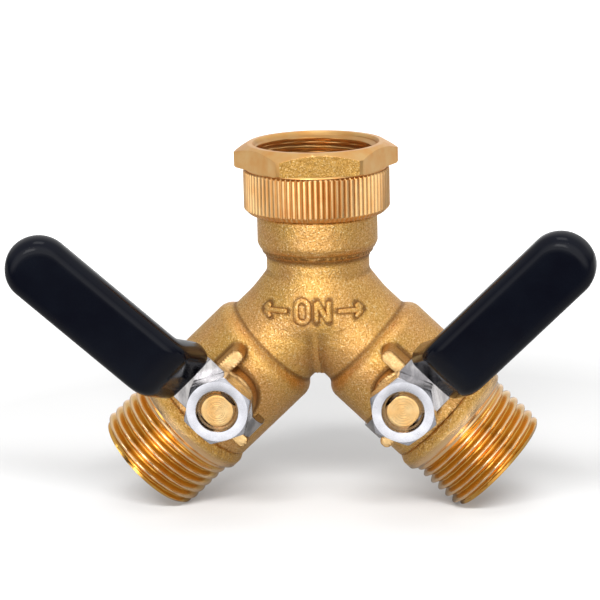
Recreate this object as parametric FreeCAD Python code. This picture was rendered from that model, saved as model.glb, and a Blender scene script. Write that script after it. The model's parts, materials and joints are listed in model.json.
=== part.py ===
"""Brass garden hose splitter: one swivelling inlet, two ball valves with levers, two hose outlets.

Sizes are in millimetres. The origin is the centre of the inlet washer's face, where the end of a
tap's spout seats. +Z points up out of the inlet, +X to the right and the levers are at the front, -Y.
The two branches are mirror images, so the right one is modelled and the left one mirrored from it.
"""
import FreeCAD, Part
import math
import os

V = FreeCAD.Vector

# Hose thread, 3/4-11.5 NH
PITCH = 25.4 / 11.5
FLANK_SLOPE = math.tan(math.radians(30))
MALE_CREST_R = 13.45
MALE_ROOT_R = 12.1
MALE_RIDGES = 5
MALE_START = 42.96
MALE_LAST_R = 13.1
FEMALE_CREST_R = 12.5
FEMALE_ROOT_R = 13.65
FEMALE_RIDGES = 4
FEMALE_START = -1.0

# Swivel nut
MOUTH_DEPTH = 8.5
MOUTH_CHAMFER_R = 13.9
HEX_FLATS = 32.0
HEX_CORNER_R = 18.2
HEX_HEIGHT = 5.1
HEX_CHAMFER = 0.8
HEX_CHAMFER_DROP = 0.5
HEX_TURN = 8.0
GROOVE_R = 15.6
GROOVE_HEIGHT = 0.6
KNURL_R = 16.25
KNURL_DEPTH = 0.45
KNURL_TEETH = 84
KNURL_BEVEL = 1.1
NUT_LIP = 2.6
NUT_WALL_R = 13.0

# Swivel tail, washer and seal
WASHER_T = 2.6
WASHER_R = 12.1
WASHER_HOLE_R = 8.0
FLANGE_R = 12.0
FLANGE_T = 1.6
BARREL_R = 8.6
SWIVEL_GAP = 0.15
BARREL_GAP = 0.3
SHANK_R = 8.0
SHANK_LENGTH = 9.0
TAIL_KEY_FLATS = 13.2
TAIL_KEY_DEPTH = 4.0
TAIL_SEAL_T = 1.0
WATERWAY_R = 6.2

# Y body
JUNCTION_DEPTH = 26.6
BRANCH_ANGLE = 46.0
NECK_GAP = 0.3
NECK_R = 13.4
NECK_EDGE = 0.6
NECK_SHOULDER = 13.4
NECK_STEP_R = 12.5
NECK_STEP = 11.2
WAIST_R = 11.45
WAIST = 9.4
ARM_R = 12.0
CHAMBER_R = 13.65
CHAMBER_START = 14.6
CHAMBER_ROUND = 3.4
CHAMBER_FOOT = 2.8
BODY_END = 37.9
SEAM_BEVEL = 0.35
CROTCH_FILLET = 1.6

# O-ring groove's width over the wire's
GROOVE_WIDTH = 1.2

# Valve, measured from its stem axis or, for heights, from the branch axis towards the front
STEM_PLACE = 28.1
BALL_R = 9.5
BALL_BORE_R = 5.75
BALL_GAP = 0.05
SEAT_R = 9.3
SEAT_HOLE_R = 6.4
SEAT_NEAR = 4.6
SEAT_FAR = 7.6
CAVITY_R = 10.2
CAVITY_BEVEL = 0.6
SPIGOT_R = 11.2
SPIGOT_START = 5.3
SPIGOT_GAP = 0.2
TANG_WIDTH = 4.0
TANG_LENGTH = 8.0
TANG_GAP = 0.1
TANG_BOTTOM = 7.0
STEM_R = 4.0
STEM_FIT = 0.08
STEM_FLANGE_R = 4.8
STEM_FLANGE_BOTTOM = 10.2
STEM_FLANGE_T = 1.7
THRUST_T = 0.8
THRUST_HOLE_R = 4.3
THRUST_GAP = 0.05
STEM_POCKET_R = 5.0
RING_WIRE_R = 0.53
RING_HEIGHTS = (14.6, 16.6)
STEM_FLATS = 6.6
STEM_EDGE = 0.75
STEM_RECESS = 0.5

# Casting pad and lever stops
PAD_TOP = 18.8
PAD_R = 7.2
STOP_WIDTH = 3.2
STOP_REACH = 11.1
STOP_ROUND = 1.5
CLOSED_STOP_ROUND = 1.3
CLOSED_STOP_WIDTH = 2.8
CLOSED_STOP_REACH = 10.6
CLOSED_FINGER_ROOT = 6.2
STOP_GAP = 0.3

# Lever
PLATE_GAP = 0.25
PLATE_T = 2.0
PLATE_HALF_WIDTH = 6.0
PLATE_HOLE_GAP = 0.1
PLATE_NOTCH = 6.9
CRANK_START = 10.3
CRANK_END = 16.6
ARM_HEIGHT = 33.7
ARM_TILT = 13.3
LEVER_LEAN = {"left": -0.9, "right": 0.3}
TIP_CENTRE = 49.5
BEND_R = 3.0
TAB_R = 8.9
TAB_HALF_WIDTH = 2.2
TAB_OFFSET = 0.8
TAB_BOTTOM = 15.2
TAB_BEND_R = 1.9
SLEEVE_START = 10.6
SLEEVE_BEVEL = 1.6
SLEEVE_HALF_WIDTH = 7.2
SLEEVE_WALL = 2.2
SLEEVE_ROUND = 2.5
SLEEVE_BEND_R = 4.6

# Lever nut
LEVER_NUT_FLATS = 13.4
LEVER_NUT_HEIGHT = 5.8
LEVER_NUT_SINK_R = 4.65
LEVER_NUT_TURN = {"left": -2.5, "right": -8.5}

# Outlet
OUTLET_END = 55.6
COLLAR_R = 14.35
COLLAR_START = 39.6
COLLAR_END = 41.7
BAND_R = 13.2
OUTLET_HOLE_R = 6.5
OUTLET_MOUTH_R = 9.2
OUTLET_FLARE = 12.0
OUTLET_EDGE = 0.7
COLLAR_BEVEL = 0.9
SEAL_WIRE_R = 0.55
SEAL_PLACE = 36.9

# Raised lettering
LETTER_HEIGHT = 6.3
LETTER_WIDTH = 4.15
LETTER_STROKE = 1.2
LETTER_DIAGONAL = 2.1
LETTER_GAP = 0.55
LETTER_CENTRE = -0.3
LETTER_RAISE = 0.5
LETTER_BASE = -3.8
ARROW_START = 5.5
ARROW_LENGTH = 5.4
ARROW_HEAD = 1.6

# How far apart places must be to count as different when edges are picked out
EDGE_STEP = 0.1

# How far a cutting shape runs past the faces that it cuts, and a joined one into its neighbour
PAST = 1.0

# Places worked out from the sizes above
NUT_TOP = MOUTH_DEPTH
FLANGE_BOTTOM = -WASHER_T - FLANGE_T
LIP_TOP = FLANGE_BOTTOM - SWIVEL_GAP
NUT_BOTTOM = LIP_TOP - NUT_LIP
NECK_TOP = NUT_BOTTOM - NECK_GAP
SHANK_BOTTOM = NECK_TOP - SHANK_LENGTH
SEAL_FLOOR = SHANK_BOTTOM - TAIL_SEAL_T
JUNCTION = V(0, 0, -JUNCTION_DEPTH)
PLATE_BOTTOM = PAD_TOP + PLATE_GAP
PLATE_MIDDLE = PLATE_BOTTOM + PLATE_T / 2
PLATE_TOP = PLATE_BOTTOM + PLATE_T
NUT_FACE = PLATE_TOP + LEVER_NUT_HEIGHT


def turned(corners):
    """Solid of revolution about Z from its (radius, z) corners."""
    points = [V(radius, 0, z) for radius, z in corners]
    face = Part.Face(Part.makePolygon(points + points[:1]))
    return face.revolve(V(0, 0, 0), V(0, 0, 1), 360)


def turned_edges(edges):
    """Solid of revolution about Z from a closed outline of lines and arcs in the XZ plane."""
    face = Part.Face(Part.Wire(edges))
    return face.revolve(V(0, 0, 0), V(0, 0, 1), 360)


def rod(radius, low, high):
    """Cylinder on Z from low to high."""
    return Part.makeCylinder(radius, high - low, V(0, 0, low))


def block(x0, x1, y0, y1, z0, z1):
    """Box between two corners."""
    return Part.makeBox(x1 - x0, y1 - y0, z1 - z0, V(x0, y0, z0))


def hexagon(flats, low, high, turn):
    """Hexagonal prism on Z with one corner turned from +X towards +Y."""
    radius = flats / math.sqrt(3)
    angles = [math.radians(turn + 60 * i) for i in range(6)]
    corners = [V(radius * math.cos(a), radius * math.sin(a), low) for a in angles]
    face = Part.Face(Part.makePolygon(corners + corners[:1]))
    return face.extrude(V(0, 0, high - low))


def ridges(root, crest, start, count):
    """(radius, z) corners of thread ridges, each one pitch long, from z = start upwards."""
    run = abs(crest - root) * FLANK_SLOPE
    flat = PITCH / 2 - run
    corners = []
    for z in [start + i * PITCH for i in range(count)]:
        corners += [(root, z), (root, z + flat), (crest, z + flat + run), (crest, z + PITCH - run)]
    return corners + [(root, start + count * PITCH)]


def ring(centre_radius, wire_radius, z):
    """O-ring on Z."""
    return Part.makeTorus(centre_radius, wire_radius, V(0, 0, z))


def in_branch(shape):
    """Place a shape from branch axes (Z out along the branch, Y to the front) in the right branch."""
    placed = shape.copy()
    placed.Placement = FreeCAD.Placement(JUNCTION, branch_rotation()).multiply(placed.Placement)
    return placed


def branch_rotation():
    """Rotation from branch axes: X out to the side and up, Y to the front, Z out along the branch."""
    lean = math.radians(BRANCH_ANGLE)
    side = V(math.cos(lean), 0, math.sin(lean))
    out = V(math.sin(lean), 0, -math.cos(lean))
    return FreeCAD.Rotation(side, V(0, -1, 0), out, "XYZ")


def in_valve(shape):
    """Place a shape from valve axes (X to the side, Y back to the junction, Z to the front)."""
    turned_up = shape.copy()
    turned_up.rotate(V(0, 0, 0), V(1, 0, 0), -90)
    turned_up.translate(V(0, 0, STEM_PLACE))
    return in_branch(turned_up)


def in_rotor(shape, side):
    """Place a shape that turns with the lever, which stands a little off square in its stops."""
    leant = shape.copy()
    leant.rotate(V(0, 0, 0), V(0, 0, 1), LEVER_LEAN[side])
    return in_valve(leant)


def mirrored(shape):
    """The left branch's copy of a right branch shape."""
    return shape.mirror(V(0, 0, 0), V(1, 0, 0))


def swivel_nut():
    """Nut that turns on the tail: hexagon above, knurled skirt below, hose thread inside."""
    hex_bottom = NUT_TOP - HEX_HEIGHT
    knurl_top = hex_bottom - GROOVE_HEIGHT
    flat_r = HEX_FLATS / 2
    head = hexagon(HEX_FLATS, hex_bottom, NUT_TOP, HEX_TURN)
    drop = (HEX_CORNER_R - flat_r) * FLANK_SLOPE
    shoulder = NUT_TOP - HEX_CHAMFER_DROP
    head = head.common(turned([
        (0, hex_bottom), (HEX_CORNER_R, hex_bottom), (HEX_CORNER_R, shoulder - drop),
        (flat_r, shoulder), (flat_r - HEX_CHAMFER, NUT_TOP), (0, NUT_TOP)]))
    points = []
    for i in range(2 * KNURL_TEETH):
        radius = KNURL_R - KNURL_DEPTH * (i % 2)
        angle = math.pi * i / KNURL_TEETH
        points.append(V(radius * math.cos(angle), radius * math.sin(angle), NUT_BOTTOM))
    skirt = Part.Face(Part.makePolygon(points + points[:1])).extrude(V(0, 0, knurl_top - NUT_BOTTOM))
    skirt = skirt.common(turned([
        (0, NUT_BOTTOM), (KNURL_R - KNURL_BEVEL, NUT_BOTTOM), (KNURL_R, NUT_BOTTOM + KNURL_BEVEL),
        (KNURL_R, knurl_top - KNURL_DEPTH), (KNURL_R - KNURL_DEPTH, knurl_top), (0, knurl_top)]))
    outside = head.fuse([skirt, rod(GROOVE_R, knurl_top - PAST, hex_bottom + PAST)]).removeSplitter()
    barrel_hole = BARREL_R + BARREL_GAP
    inside = turned(
        [(0, NUT_BOTTOM - PAST), (barrel_hole, NUT_BOTTOM - PAST), (barrel_hole, LIP_TOP),
         (NUT_WALL_R, LIP_TOP), (NUT_WALL_R, FEMALE_START)]
        + ridges(FEMALE_ROOT_R, FEMALE_CREST_R, FEMALE_START, FEMALE_RIDGES)
        + [(MOUTH_CHAMFER_R, NUT_TOP), (MOUTH_CHAMFER_R, NUT_TOP + PAST), (0, NUT_TOP + PAST)])
    return outside.cut(inside)


def swivel_tail():
    """Flanged tube that the nut turns on, screwed into the neck of the body."""
    tube = turned([
        (WATERWAY_R, -WASHER_T), (FLANGE_R, -WASHER_T), (FLANGE_R, FLANGE_BOTTOM),
        (BARREL_R, FLANGE_BOTTOM), (BARREL_R, NECK_TOP), (SHANK_R, NECK_TOP),
        (SHANK_R, SHANK_BOTTOM), (WATERWAY_R, SHANK_BOTTOM)])
    return tube.cut(hexagon(TAIL_KEY_FLATS, -WASHER_T - TAIL_KEY_DEPTH, 0, 0))


def inlet_washer():
    """Flat rubber hose washer on the tail's flange."""
    return rod(WASHER_R, -WASHER_T, 0).cut(rod(WASHER_HOLE_R, -WASHER_T - PAST, PAST))


def tail_seal():
    """Flat ring under the end of the tail, in the bottom of the neck's bore."""
    hole = rod(WATERWAY_R, SEAL_FLOOR - PAST, SHANK_BOTTOM + PAST)
    return rod(SHANK_R, SEAL_FLOOR, SHANK_BOTTOM).cut(hole)


def chamber():
    """Outside of one valve chamber in branch axes, rounded where it rises from the arm."""
    radius = (CHAMBER_FOOT ** 2 + CHAMBER_ROUND ** 2) / (2 * CHAMBER_FOOT)
    half_turn = math.asin(CHAMBER_ROUND / radius) / 2
    round_end = V(CHAMBER_R, 0, CHAMBER_START + CHAMBER_ROUND)
    centre = round_end - V(radius, 0, 0)
    middle = centre + V(radius * math.cos(half_turn), 0, -radius * math.sin(half_turn))
    first = V(CHAMBER_R - CHAMBER_FOOT, 0, CHAMBER_START)
    corners = [
        round_end, V(CHAMBER_R, 0, BODY_END - SEAM_BEVEL), V(CHAMBER_R - SEAM_BEVEL, 0, BODY_END),
        V(0, 0, BODY_END), V(0, 0, CHAMBER_START), first]
    lines = [Part.makeLine(a, b) for a, b in zip(corners, corners[1:])]
    return turned_edges(lines + [Part.Arc(first, middle, round_end).toShape()])


def stop_finger():
    """Round-ended finger in valve axes that the lever's tab meets when the valve is open."""
    near = TAB_OFFSET + TAB_HALF_WIDTH + STOP_GAP
    finger = block(near, near + STOP_WIDTH, 0, STOP_REACH, CAVITY_R + PAST, PAD_TOP)
    ends = [e for e in finger.Edges if e.BoundBox.ZLength > EDGE_STEP and e.BoundBox.YMin > STOP_REACH / 2]
    return finger.makeFillet(STOP_ROUND, ends)


def closed_finger():
    """The other finger, which the tab meets when the valve is closed."""
    near = TAB_HALF_WIDTH - TAB_OFFSET + STOP_GAP
    finger = block(-CLOSED_STOP_REACH, 0, -near - CLOSED_STOP_WIDTH, -near, CLOSED_FINGER_ROOT, PAD_TOP)
    middle = -CLOSED_STOP_REACH / 2
    ends = [e for e in finger.Edges if e.BoundBox.ZLength > EDGE_STEP and e.BoundBox.XMax < middle]
    return finger.makeFillet(CLOSED_STOP_ROUND, ends)


def branch_cavity():
    """Waterway, seat pocket, ball cavity and spigot thread of one branch, in branch axes."""
    pocket = STEM_PLACE - SEAT_FAR
    cavity = STEM_PLACE - SEAT_NEAR + CAVITY_BEVEL
    spigot = STEM_PLACE + SPIGOT_START - SPIGOT_GAP
    return turned([
        (0, 0), (WATERWAY_R, 0), (WATERWAY_R, pocket), (SEAT_R, pocket), (SEAT_R, cavity - CAVITY_BEVEL),
        (CAVITY_R, cavity), (CAVITY_R, spigot), (SPIGOT_R, spigot), (SPIGOT_R, BODY_END + PAST),
        (0, BODY_END + PAST)])


def stem_hole():
    """Stem bore and its wider pocket from inside, in valve axes."""
    pocket_top = STEM_FLANGE_BOTTOM + STEM_FLANGE_T + THRUST_GAP + THRUST_T
    return rod(STEM_POCKET_R, 0, pocket_top).fuse(rod(STEM_R + STEM_FIT, 0, PAD_TOP + PAST))


def letter_o():
    """Upright oval ring of the letter O, its left edge at x = 0."""
    outer = Part.Face(Part.Wire(slot_edges(LETTER_WIDTH, LETTER_HEIGHT, 0)))
    inner = Part.Face(Part.Wire(slot_edges(LETTER_WIDTH, LETTER_HEIGHT, LETTER_STROKE)))
    return outer.cut(inner)


def slot_edges(width, height, inset):
    """Edges of an upright round-ended slot in the XZ plane, pulled in by an inset."""
    half = width / 2
    radius = half - inset
    low = half
    high = height - half
    bottom = Part.Arc(V(half - radius, 0, low), V(half, 0, low - radius), V(half + radius, 0, low))
    top = Part.Arc(V(half + radius, 0, high), V(half, 0, high + radius), V(half - radius, 0, high))
    right = Part.makeLine(V(half + radius, 0, low), V(half + radius, 0, high))
    left = Part.makeLine(V(half - radius, 0, high), V(half - radius, 0, low))
    return [bottom.toShape(), right, top.toShape(), left]


def flat_outline(corners):
    """Face in the XZ plane from (x, z) corners."""
    points = [V(x, 0, z) for x, z in corners]
    return Part.Face(Part.makePolygon(points + points[:1]))


def letter_n():
    """Letter N, its left edge at x = 0."""
    w, h, s = LETTER_WIDTH, LETTER_HEIGHT, LETTER_STROKE
    diagonal = LETTER_DIAGONAL * s
    return flat_outline([
        (0, 0), (s, 0), (s, h - diagonal), (w - s, 0), (w, 0),
        (w, h), (w - s, h), (w - s, diagonal), (s, h), (0, h)])


def arrow():
    """Arrow that points to +X, its tail at x = 0 and its shaft on z = 0."""
    half = LETTER_STROKE / 2
    neck = ARROW_LENGTH - ARROW_HEAD
    return flat_outline([
        (0, -half), (neck, -half), (neck, -ARROW_HEAD), (ARROW_LENGTH, 0),
        (neck, ARROW_HEAD), (neck, half), (0, half)])


def lettering(skin):
    """Raised ON between two arrows, cut from a skin a little outside the casting."""
    base = -JUNCTION_DEPTH + LETTER_BASE
    middle = base + LETTER_HEIGHT / 2
    right_arrow = arrow()
    right_arrow.translate(V(ARROW_START, 0, middle))
    left_o = letter_o()
    left_o.translate(V(-LETTER_GAP / 2 - LETTER_WIDTH, 0, base))
    right_n = letter_n()
    right_n.translate(V(LETTER_GAP / 2, 0, base))
    prisms = []
    for face in (left_o, right_n, right_arrow, mirrored(right_arrow)):
        face.translate(V(LETTER_CENTRE, 0, 0))
        prisms.append(face.extrude(V(0, -2 * ARM_R, 0)))
    return [prism.common(skin) for prism in prisms]


def casting(extra):
    """Neck and two arms of the Y, every radius grown by an extra."""
    neck = turned([
        (0, 0), (WAIST_R + extra, 0), (WAIST_R + extra, WAIST), (NECK_STEP_R + extra, NECK_STEP),
        (NECK_R + extra, NECK_SHOULDER), (NECK_R + extra, NECK_TOP + JUNCTION_DEPTH - NECK_EDGE),
        (NECK_R + extra - NECK_EDGE, NECK_TOP + JUNCTION_DEPTH), (0, NECK_TOP + JUNCTION_DEPTH)])
    neck.translate(JUNCTION)
    arm = in_branch(rod(ARM_R + extra, 0, CHAMBER_START + PAST))
    ball = Part.makeSphere(ARM_R + extra, JUNCTION)
    return neck.fuse([arm, mirrored(arm), ball])


def y_body():
    """Forged body: neck, two arms, two valve chambers with pads and stops, raised lettering."""
    outside = casting(0).removeSplitter()
    crotch = [e for e in outside.Edges if is_crotch(e)]
    outside = outside.makeFillet(CROTCH_FILLET, crotch)
    right = in_branch(chamber())
    pad = in_valve(rod(PAD_R, CAVITY_R, PAD_TOP).fuse([stop_finger(), closed_finger()]))
    outside = outside.fuse([right, mirrored(right), pad, mirrored(pad)] + lettering(casting(LETTER_RAISE)))
    cavity = in_branch(branch_cavity()).fuse(in_valve(stem_hole()))
    neck_bore = rod(SHANK_R, SEAL_FLOOR, NECK_TOP + PAST).fuse(rod(WATERWAY_R, -JUNCTION_DEPTH, 0))
    body = outside.removeSplitter().cut([cavity, mirrored(cavity), neck_bore])
    return body.removeSplitter()


def is_crotch(edge):
    """True for the curve on the middle plane where the two arms meet below the junction."""
    box = edge.BoundBox
    return box.XLength < 0.1 and box.ZMin < -JUNCTION_DEPTH - ARM_R / 2 and box.YLength > ARM_R / 2


def outlet():
    """Screwed-in end piece: spigot, collar and male hose thread, in branch axes."""
    spigot = STEM_PLACE + SPIGOT_START
    pocket = STEM_PLACE + SEAT_FAR
    groove_r = SPIGOT_R - 2 * SEAL_WIRE_R
    groove_low = SEAL_PLACE - GROOVE_WIDTH * SEAL_WIRE_R
    groove_high = SEAL_PLACE + GROOVE_WIDTH * SEAL_WIRE_R
    thread = ridges(MALE_ROOT_R, MALE_CREST_R, MALE_START, MALE_RIDGES)
    last_crest = OUTLET_END - OUTLET_EDGE
    last_root = last_crest - (MALE_LAST_R - MALE_ROOT_R) * FLANK_SLOPE
    outline = [
        (SPIGOT_R, spigot), (SPIGOT_R, groove_low), (groove_r, groove_low),
        (groove_r, groove_high), (SPIGOT_R, groove_high), (SPIGOT_R, BODY_END),
        (CHAMBER_R - SEAM_BEVEL, BODY_END), (CHAMBER_R, BODY_END + SEAM_BEVEL),
        (COLLAR_R, COLLAR_START), (COLLAR_R, COLLAR_END), (BAND_R, COLLAR_END + COLLAR_BEVEL)]
    outline += [(BAND_R, MALE_START)] + thread
    outline += [
        (MALE_ROOT_R, last_root), (MALE_LAST_R, last_crest), (MALE_LAST_R - OUTLET_EDGE, OUTLET_END),
        (OUTLET_MOUTH_R, OUTLET_END), (OUTLET_HOLE_R, OUTLET_END - OUTLET_FLARE),
        (OUTLET_HOLE_R, pocket), (SEAT_R, pocket), (SEAT_R, spigot)]
    return turned(outline)


def outlet_seal():
    """O-ring in the spigot's groove, in branch axes."""
    return ring(SPIGOT_R - SEAL_WIRE_R, SEAL_WIRE_R, SEAL_PLACE)


def seat(direction):
    """PTFE seat ring in branch axes, on the outlet side (+1) or the inlet side (-1) of the ball."""
    rim = turned([
        (SEAT_HOLE_R, SEAT_NEAR), (SEAT_R, SEAT_NEAR), (SEAT_R, SEAT_FAR), (SEAT_HOLE_R, SEAT_FAR)])
    rim = rim.cut(Part.makeSphere(BALL_R + BALL_GAP))
    if direction < 0:
        rim = rim.mirror(V(0, 0, 0), V(0, 0, 1))
    rim.translate(V(0, 0, STEM_PLACE))
    return rim


def ball():
    """Ball in valve axes, its bore across the branch as when closed, with a slot for the stem."""
    bore = rod(BALL_BORE_R, -BALL_R - PAST, BALL_R + PAST)
    bore.rotate(V(0, 0, 0), V(0, 1, 0), 90)
    half = TANG_WIDTH / 2 + TANG_GAP
    slot = block(-half, half, -BALL_R, BALL_R, TANG_BOTTOM - TANG_GAP, BALL_R + PAST)
    return Part.makeSphere(BALL_R).cut([bore, slot])


def stem():
    """Stem in valve axes: tang, flange, ringed shaft and double-flatted end."""
    flange_top = STEM_FLANGE_BOTTOM + STEM_FLANGE_T
    end = NUT_FACE - STEM_RECESS
    shaft = turned([
        (0, STEM_FLANGE_BOTTOM), (STEM_FLANGE_R, STEM_FLANGE_BOTTOM), (STEM_FLANGE_R, flange_top),
        (STEM_R, flange_top), (STEM_R, end - STEM_EDGE), (STEM_R - STEM_EDGE, end), (0, end)])
    width = STEM_R + PAST
    flats = [
        block(-width, width, STEM_FLATS / 2, width, PLATE_BOTTOM, end + PAST),
        block(-width, width, -width, -STEM_FLATS / 2, PLATE_BOTTOM, end + PAST)]
    inner = STEM_R + STEM_FIT / 2 - 2 * RING_WIRE_R
    grooves = []
    for height in RING_HEIGHTS:
        low = height - GROOVE_WIDTH * RING_WIRE_R
        high = height + GROOVE_WIDTH * RING_WIRE_R
        grooves.append(rod(width, low, high).cut(rod(inner, low, high)))
    tang = block(
        -TANG_WIDTH / 2, TANG_WIDTH / 2, -TANG_LENGTH / 2, TANG_LENGTH / 2,
        TANG_BOTTOM, STEM_FLANGE_BOTTOM + STEM_FLANGE_T / 2)
    return shaft.cut(flats + grooves).fuse(tang).removeSplitter()


def thrust_washer():
    """PTFE washer above the stem's flange, in valve axes."""
    low = STEM_FLANGE_BOTTOM + STEM_FLANGE_T + THRUST_GAP
    hole = rod(THRUST_HOLE_R, low - PAST, low + THRUST_T + PAST)
    return rod(STEM_FLANGE_R, low, low + THRUST_T).cut(hole)


def stem_rings():
    """The stem's two O-rings, in valve axes."""
    centre = STEM_R + STEM_FIT / 2 - RING_WIRE_R
    return Part.makeCompound([ring(centre, RING_WIRE_R, height) for height in RING_HEIGHTS])


def lever_path():
    """(reach, height) corners of the bent strip's middle line, and the bend radius at each."""
    rise = math.tan(math.radians(ARM_TILT))
    end = TIP_CENTRE + 2 * PLATE_HALF_WIDTH
    corners = [
        (-TAB_R, TAB_BOTTOM), (-TAB_R, PLATE_MIDDLE), (CRANK_START, PLATE_MIDDLE),
        (CRANK_END, ARM_HEIGHT), (end, ARM_HEIGHT + (end - CRANK_END) * rise)]
    return corners, [0, TAB_BEND_R, BEND_R, BEND_R, 0]


def side_of(corners, radii, offset):
    """Points of a bent middle line moved sideways: lists of (start, middle, end) of every arc."""
    moved = []
    for i in range(1, len(corners) - 1):
        before, here, after = (V(x, 0, z) for x, z in corners[i - 1:i + 2])
        into = (here - before).normalize()
        out = (after - here).normalize()
        left = V(-into.z, 0, into.x)
        left_out = V(-out.z, 0, out.x)
        turn = math.copysign(1, into.x * out.z - into.z * out.x)
        half = into.getAngle(out) / 2
        back = radii[i] * math.tan(half)
        centre = here - into * back + left * turn * radii[i]
        radius = radii[i] - turn * offset
        bisector = (left + left_out).normalize()
        moved.append([
            centre - left * turn * radius, centre - bisector * turn * radius,
            centre - left_out * turn * radius])
    return moved


def bent_band(corners, radii, half_thickness, half_width):
    """Strip of constant thickness along a bent line, extruded across its width."""
    first = V(corners[0][0], 0, corners[0][1])
    second = V(corners[1][0], 0, corners[1][1])
    last = V(corners[-1][0], 0, corners[-1][1])
    nearly = V(corners[-2][0], 0, corners[-2][1])
    start_left = V(-(second - first).normalize().z, 0, (second - first).normalize().x)
    end_left = V(-(last - nearly).normalize().z, 0, (last - nearly).normalize().x)
    chains = []
    for offset in (half_thickness, -half_thickness):
        chain = []
        here = first + start_left * offset
        for start, middle, end in side_of(corners, radii, offset):
            chain += [Part.makeLine(here, start), Part.Arc(start, middle, end).toShape()]
            here = end
        chain.append(Part.makeLine(here, last + end_left * offset))
        chains.append(chain)
    edges = chains[0] + chains[1]
    edges.append(Part.makeLine(first + start_left * half_thickness, first - start_left * half_thickness))
    edges.append(Part.makeLine(last + end_left * half_thickness, last - end_left * half_thickness))
    face = Part.Face(Part.Wire(Part.__sortEdges__(edges)))
    face.translate(V(0, -half_width, 0))
    return face.extrude(V(0, 2 * half_width, 0))


def plan(start, half_width, bevel):
    """Upright prism with a bevelled start and a round tip, for trimming the lever from above."""
    near = half_width - bevel
    corners = [
        V(TIP_CENTRE, half_width, 0), V(start + bevel, half_width, 0), V(start, near, 0),
        V(start, -near, 0), V(start + bevel, -half_width, 0), V(TIP_CENTRE, -half_width, 0)]
    edges = [Part.makeLine(a, b) for a, b in zip(corners, corners[1:]) if a != b]
    tip = Part.Arc(corners[-1], V(TIP_CENTRE + half_width, 0, 0), corners[0]).toShape()
    return Part.Face(Part.Wire(edges + [tip])).extrude(V(0, 0, 2 * ARM_HEIGHT))


def lever():
    """Bent steel strip with a double-D hole and a tab turned down behind the stem, in valve axes."""
    corners, radii = lever_path()
    strip = bent_band(corners, radii, PLATE_T / 2, PLATE_HALF_WIDTH)
    tab_low = TAB_OFFSET - TAB_HALF_WIDTH
    tab_high = TAB_OFFSET + TAB_HALF_WIDTH
    reach = TAB_R + PLATE_T
    low_slope = PLATE_HALF_WIDTH + tab_low
    high_slope = PLATE_HALF_WIDTH - tab_high
    outline = [
        (0, -PLATE_HALF_WIDTH), (0, PLATE_HALF_WIDTH), (high_slope - PLATE_NOTCH, PLATE_HALF_WIDTH),
        (-PLATE_NOTCH, tab_high), (-reach, tab_high), (-reach, tab_low),
        (-PLATE_NOTCH, tab_low), (low_slope - PLATE_NOTCH, -PLATE_HALF_WIDTH)]
    points = [V(x, y, 0) for x, y in outline]
    back = Part.Face(Part.makePolygon(points + points[:1])).extrude(V(0, 0, 2 * ARM_HEIGHT))
    blank = strip.common(plan(0, PLATE_HALF_WIDTH, 0).fuse(back).removeSplitter())
    low = PLATE_BOTTOM - PAST
    high = PLATE_TOP + PAST
    half = STEM_FLATS / 2 + PLATE_HOLE_GAP
    hole = rod(STEM_R + PLATE_HOLE_GAP, low, high).common(block(-reach, reach, -half, half, low, high))
    return blank.cut(hole).removeSplitter()


def sleeve():
    """Dipped vinyl grip over the lever from the crank to the tip, in valve axes."""
    corners, radii = lever_path()
    radii = [0, TAB_BEND_R + SLEEVE_WALL, SLEEVE_BEND_R, SLEEVE_BEND_R, 0]
    outer = bent_band(corners, radii, PLATE_T / 2 + SLEEVE_WALL, SLEEVE_HALF_WIDTH)
    outer = outer.common(plan(SLEEVE_START, SLEEVE_HALF_WIDTH, 0))
    rims = [e for e in outer.Edges if e.BoundBox.XMax > SLEEVE_START + EDGE_STEP and not is_upright(e)]
    outer = outer.makeFillet(SLEEVE_ROUND, rims)
    return outer.common(plan(SLEEVE_START, SLEEVE_HALF_WIDTH, SLEEVE_BEVEL)).cut(lever())


def is_upright(edge):
    """True for the straight edges that stand between the sleeve's top and bottom faces."""
    box = edge.BoundBox
    return box.YLength < 0.01 and box.XLength < SLEEVE_WALL and box.ZLength > PLATE_T


def lever_nut(turn):
    """Chamfered hexagon nut on the stem's end, in valve axes."""
    flat_r = LEVER_NUT_FLATS / 2
    corner_r = LEVER_NUT_FLATS / math.sqrt(3)
    drop = (corner_r - flat_r) * FLANK_SLOPE
    nut = hexagon(LEVER_NUT_FLATS, PLATE_TOP, NUT_FACE, turn).common(turned([
        (0, PLATE_TOP), (flat_r, PLATE_TOP), (corner_r, PLATE_TOP + drop),
        (corner_r, NUT_FACE - drop), (flat_r, NUT_FACE), (0, NUT_FACE)]))
    sink = LEVER_NUT_SINK_R - STEM_R
    return nut.cut(turned([
        (0, PLATE_TOP - PAST), (STEM_R, PLATE_TOP - PAST), (STEM_R, NUT_FACE - sink),
        (LEVER_NUT_SINK_R, NUT_FACE), (LEVER_NUT_SINK_R, NUT_FACE + PAST), (0, NUT_FACE + PAST)]))


def branch_parts(side):
    """Name and shape of every part of one branch, modelled on the right."""
    return {
        "outlet": in_branch(outlet()),
        "outlet_seal": in_branch(outlet_seal()),
        "inlet_seat": in_branch(seat(-1)),
        "outlet_seat": in_branch(seat(1)),
        "ball": in_rotor(ball(), side),
        "stem": in_rotor(stem(), side),
        "thrust_washer": in_valve(thrust_washer()),
        "stem_o_rings": in_rotor(stem_rings(), side),
        "lever": in_rotor(lever(), side),
        "lever_sleeve": in_rotor(sleeve(), side),
        "lever_nut": in_rotor(lever_nut(LEVER_NUT_TURN[side]), side),
    }


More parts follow.
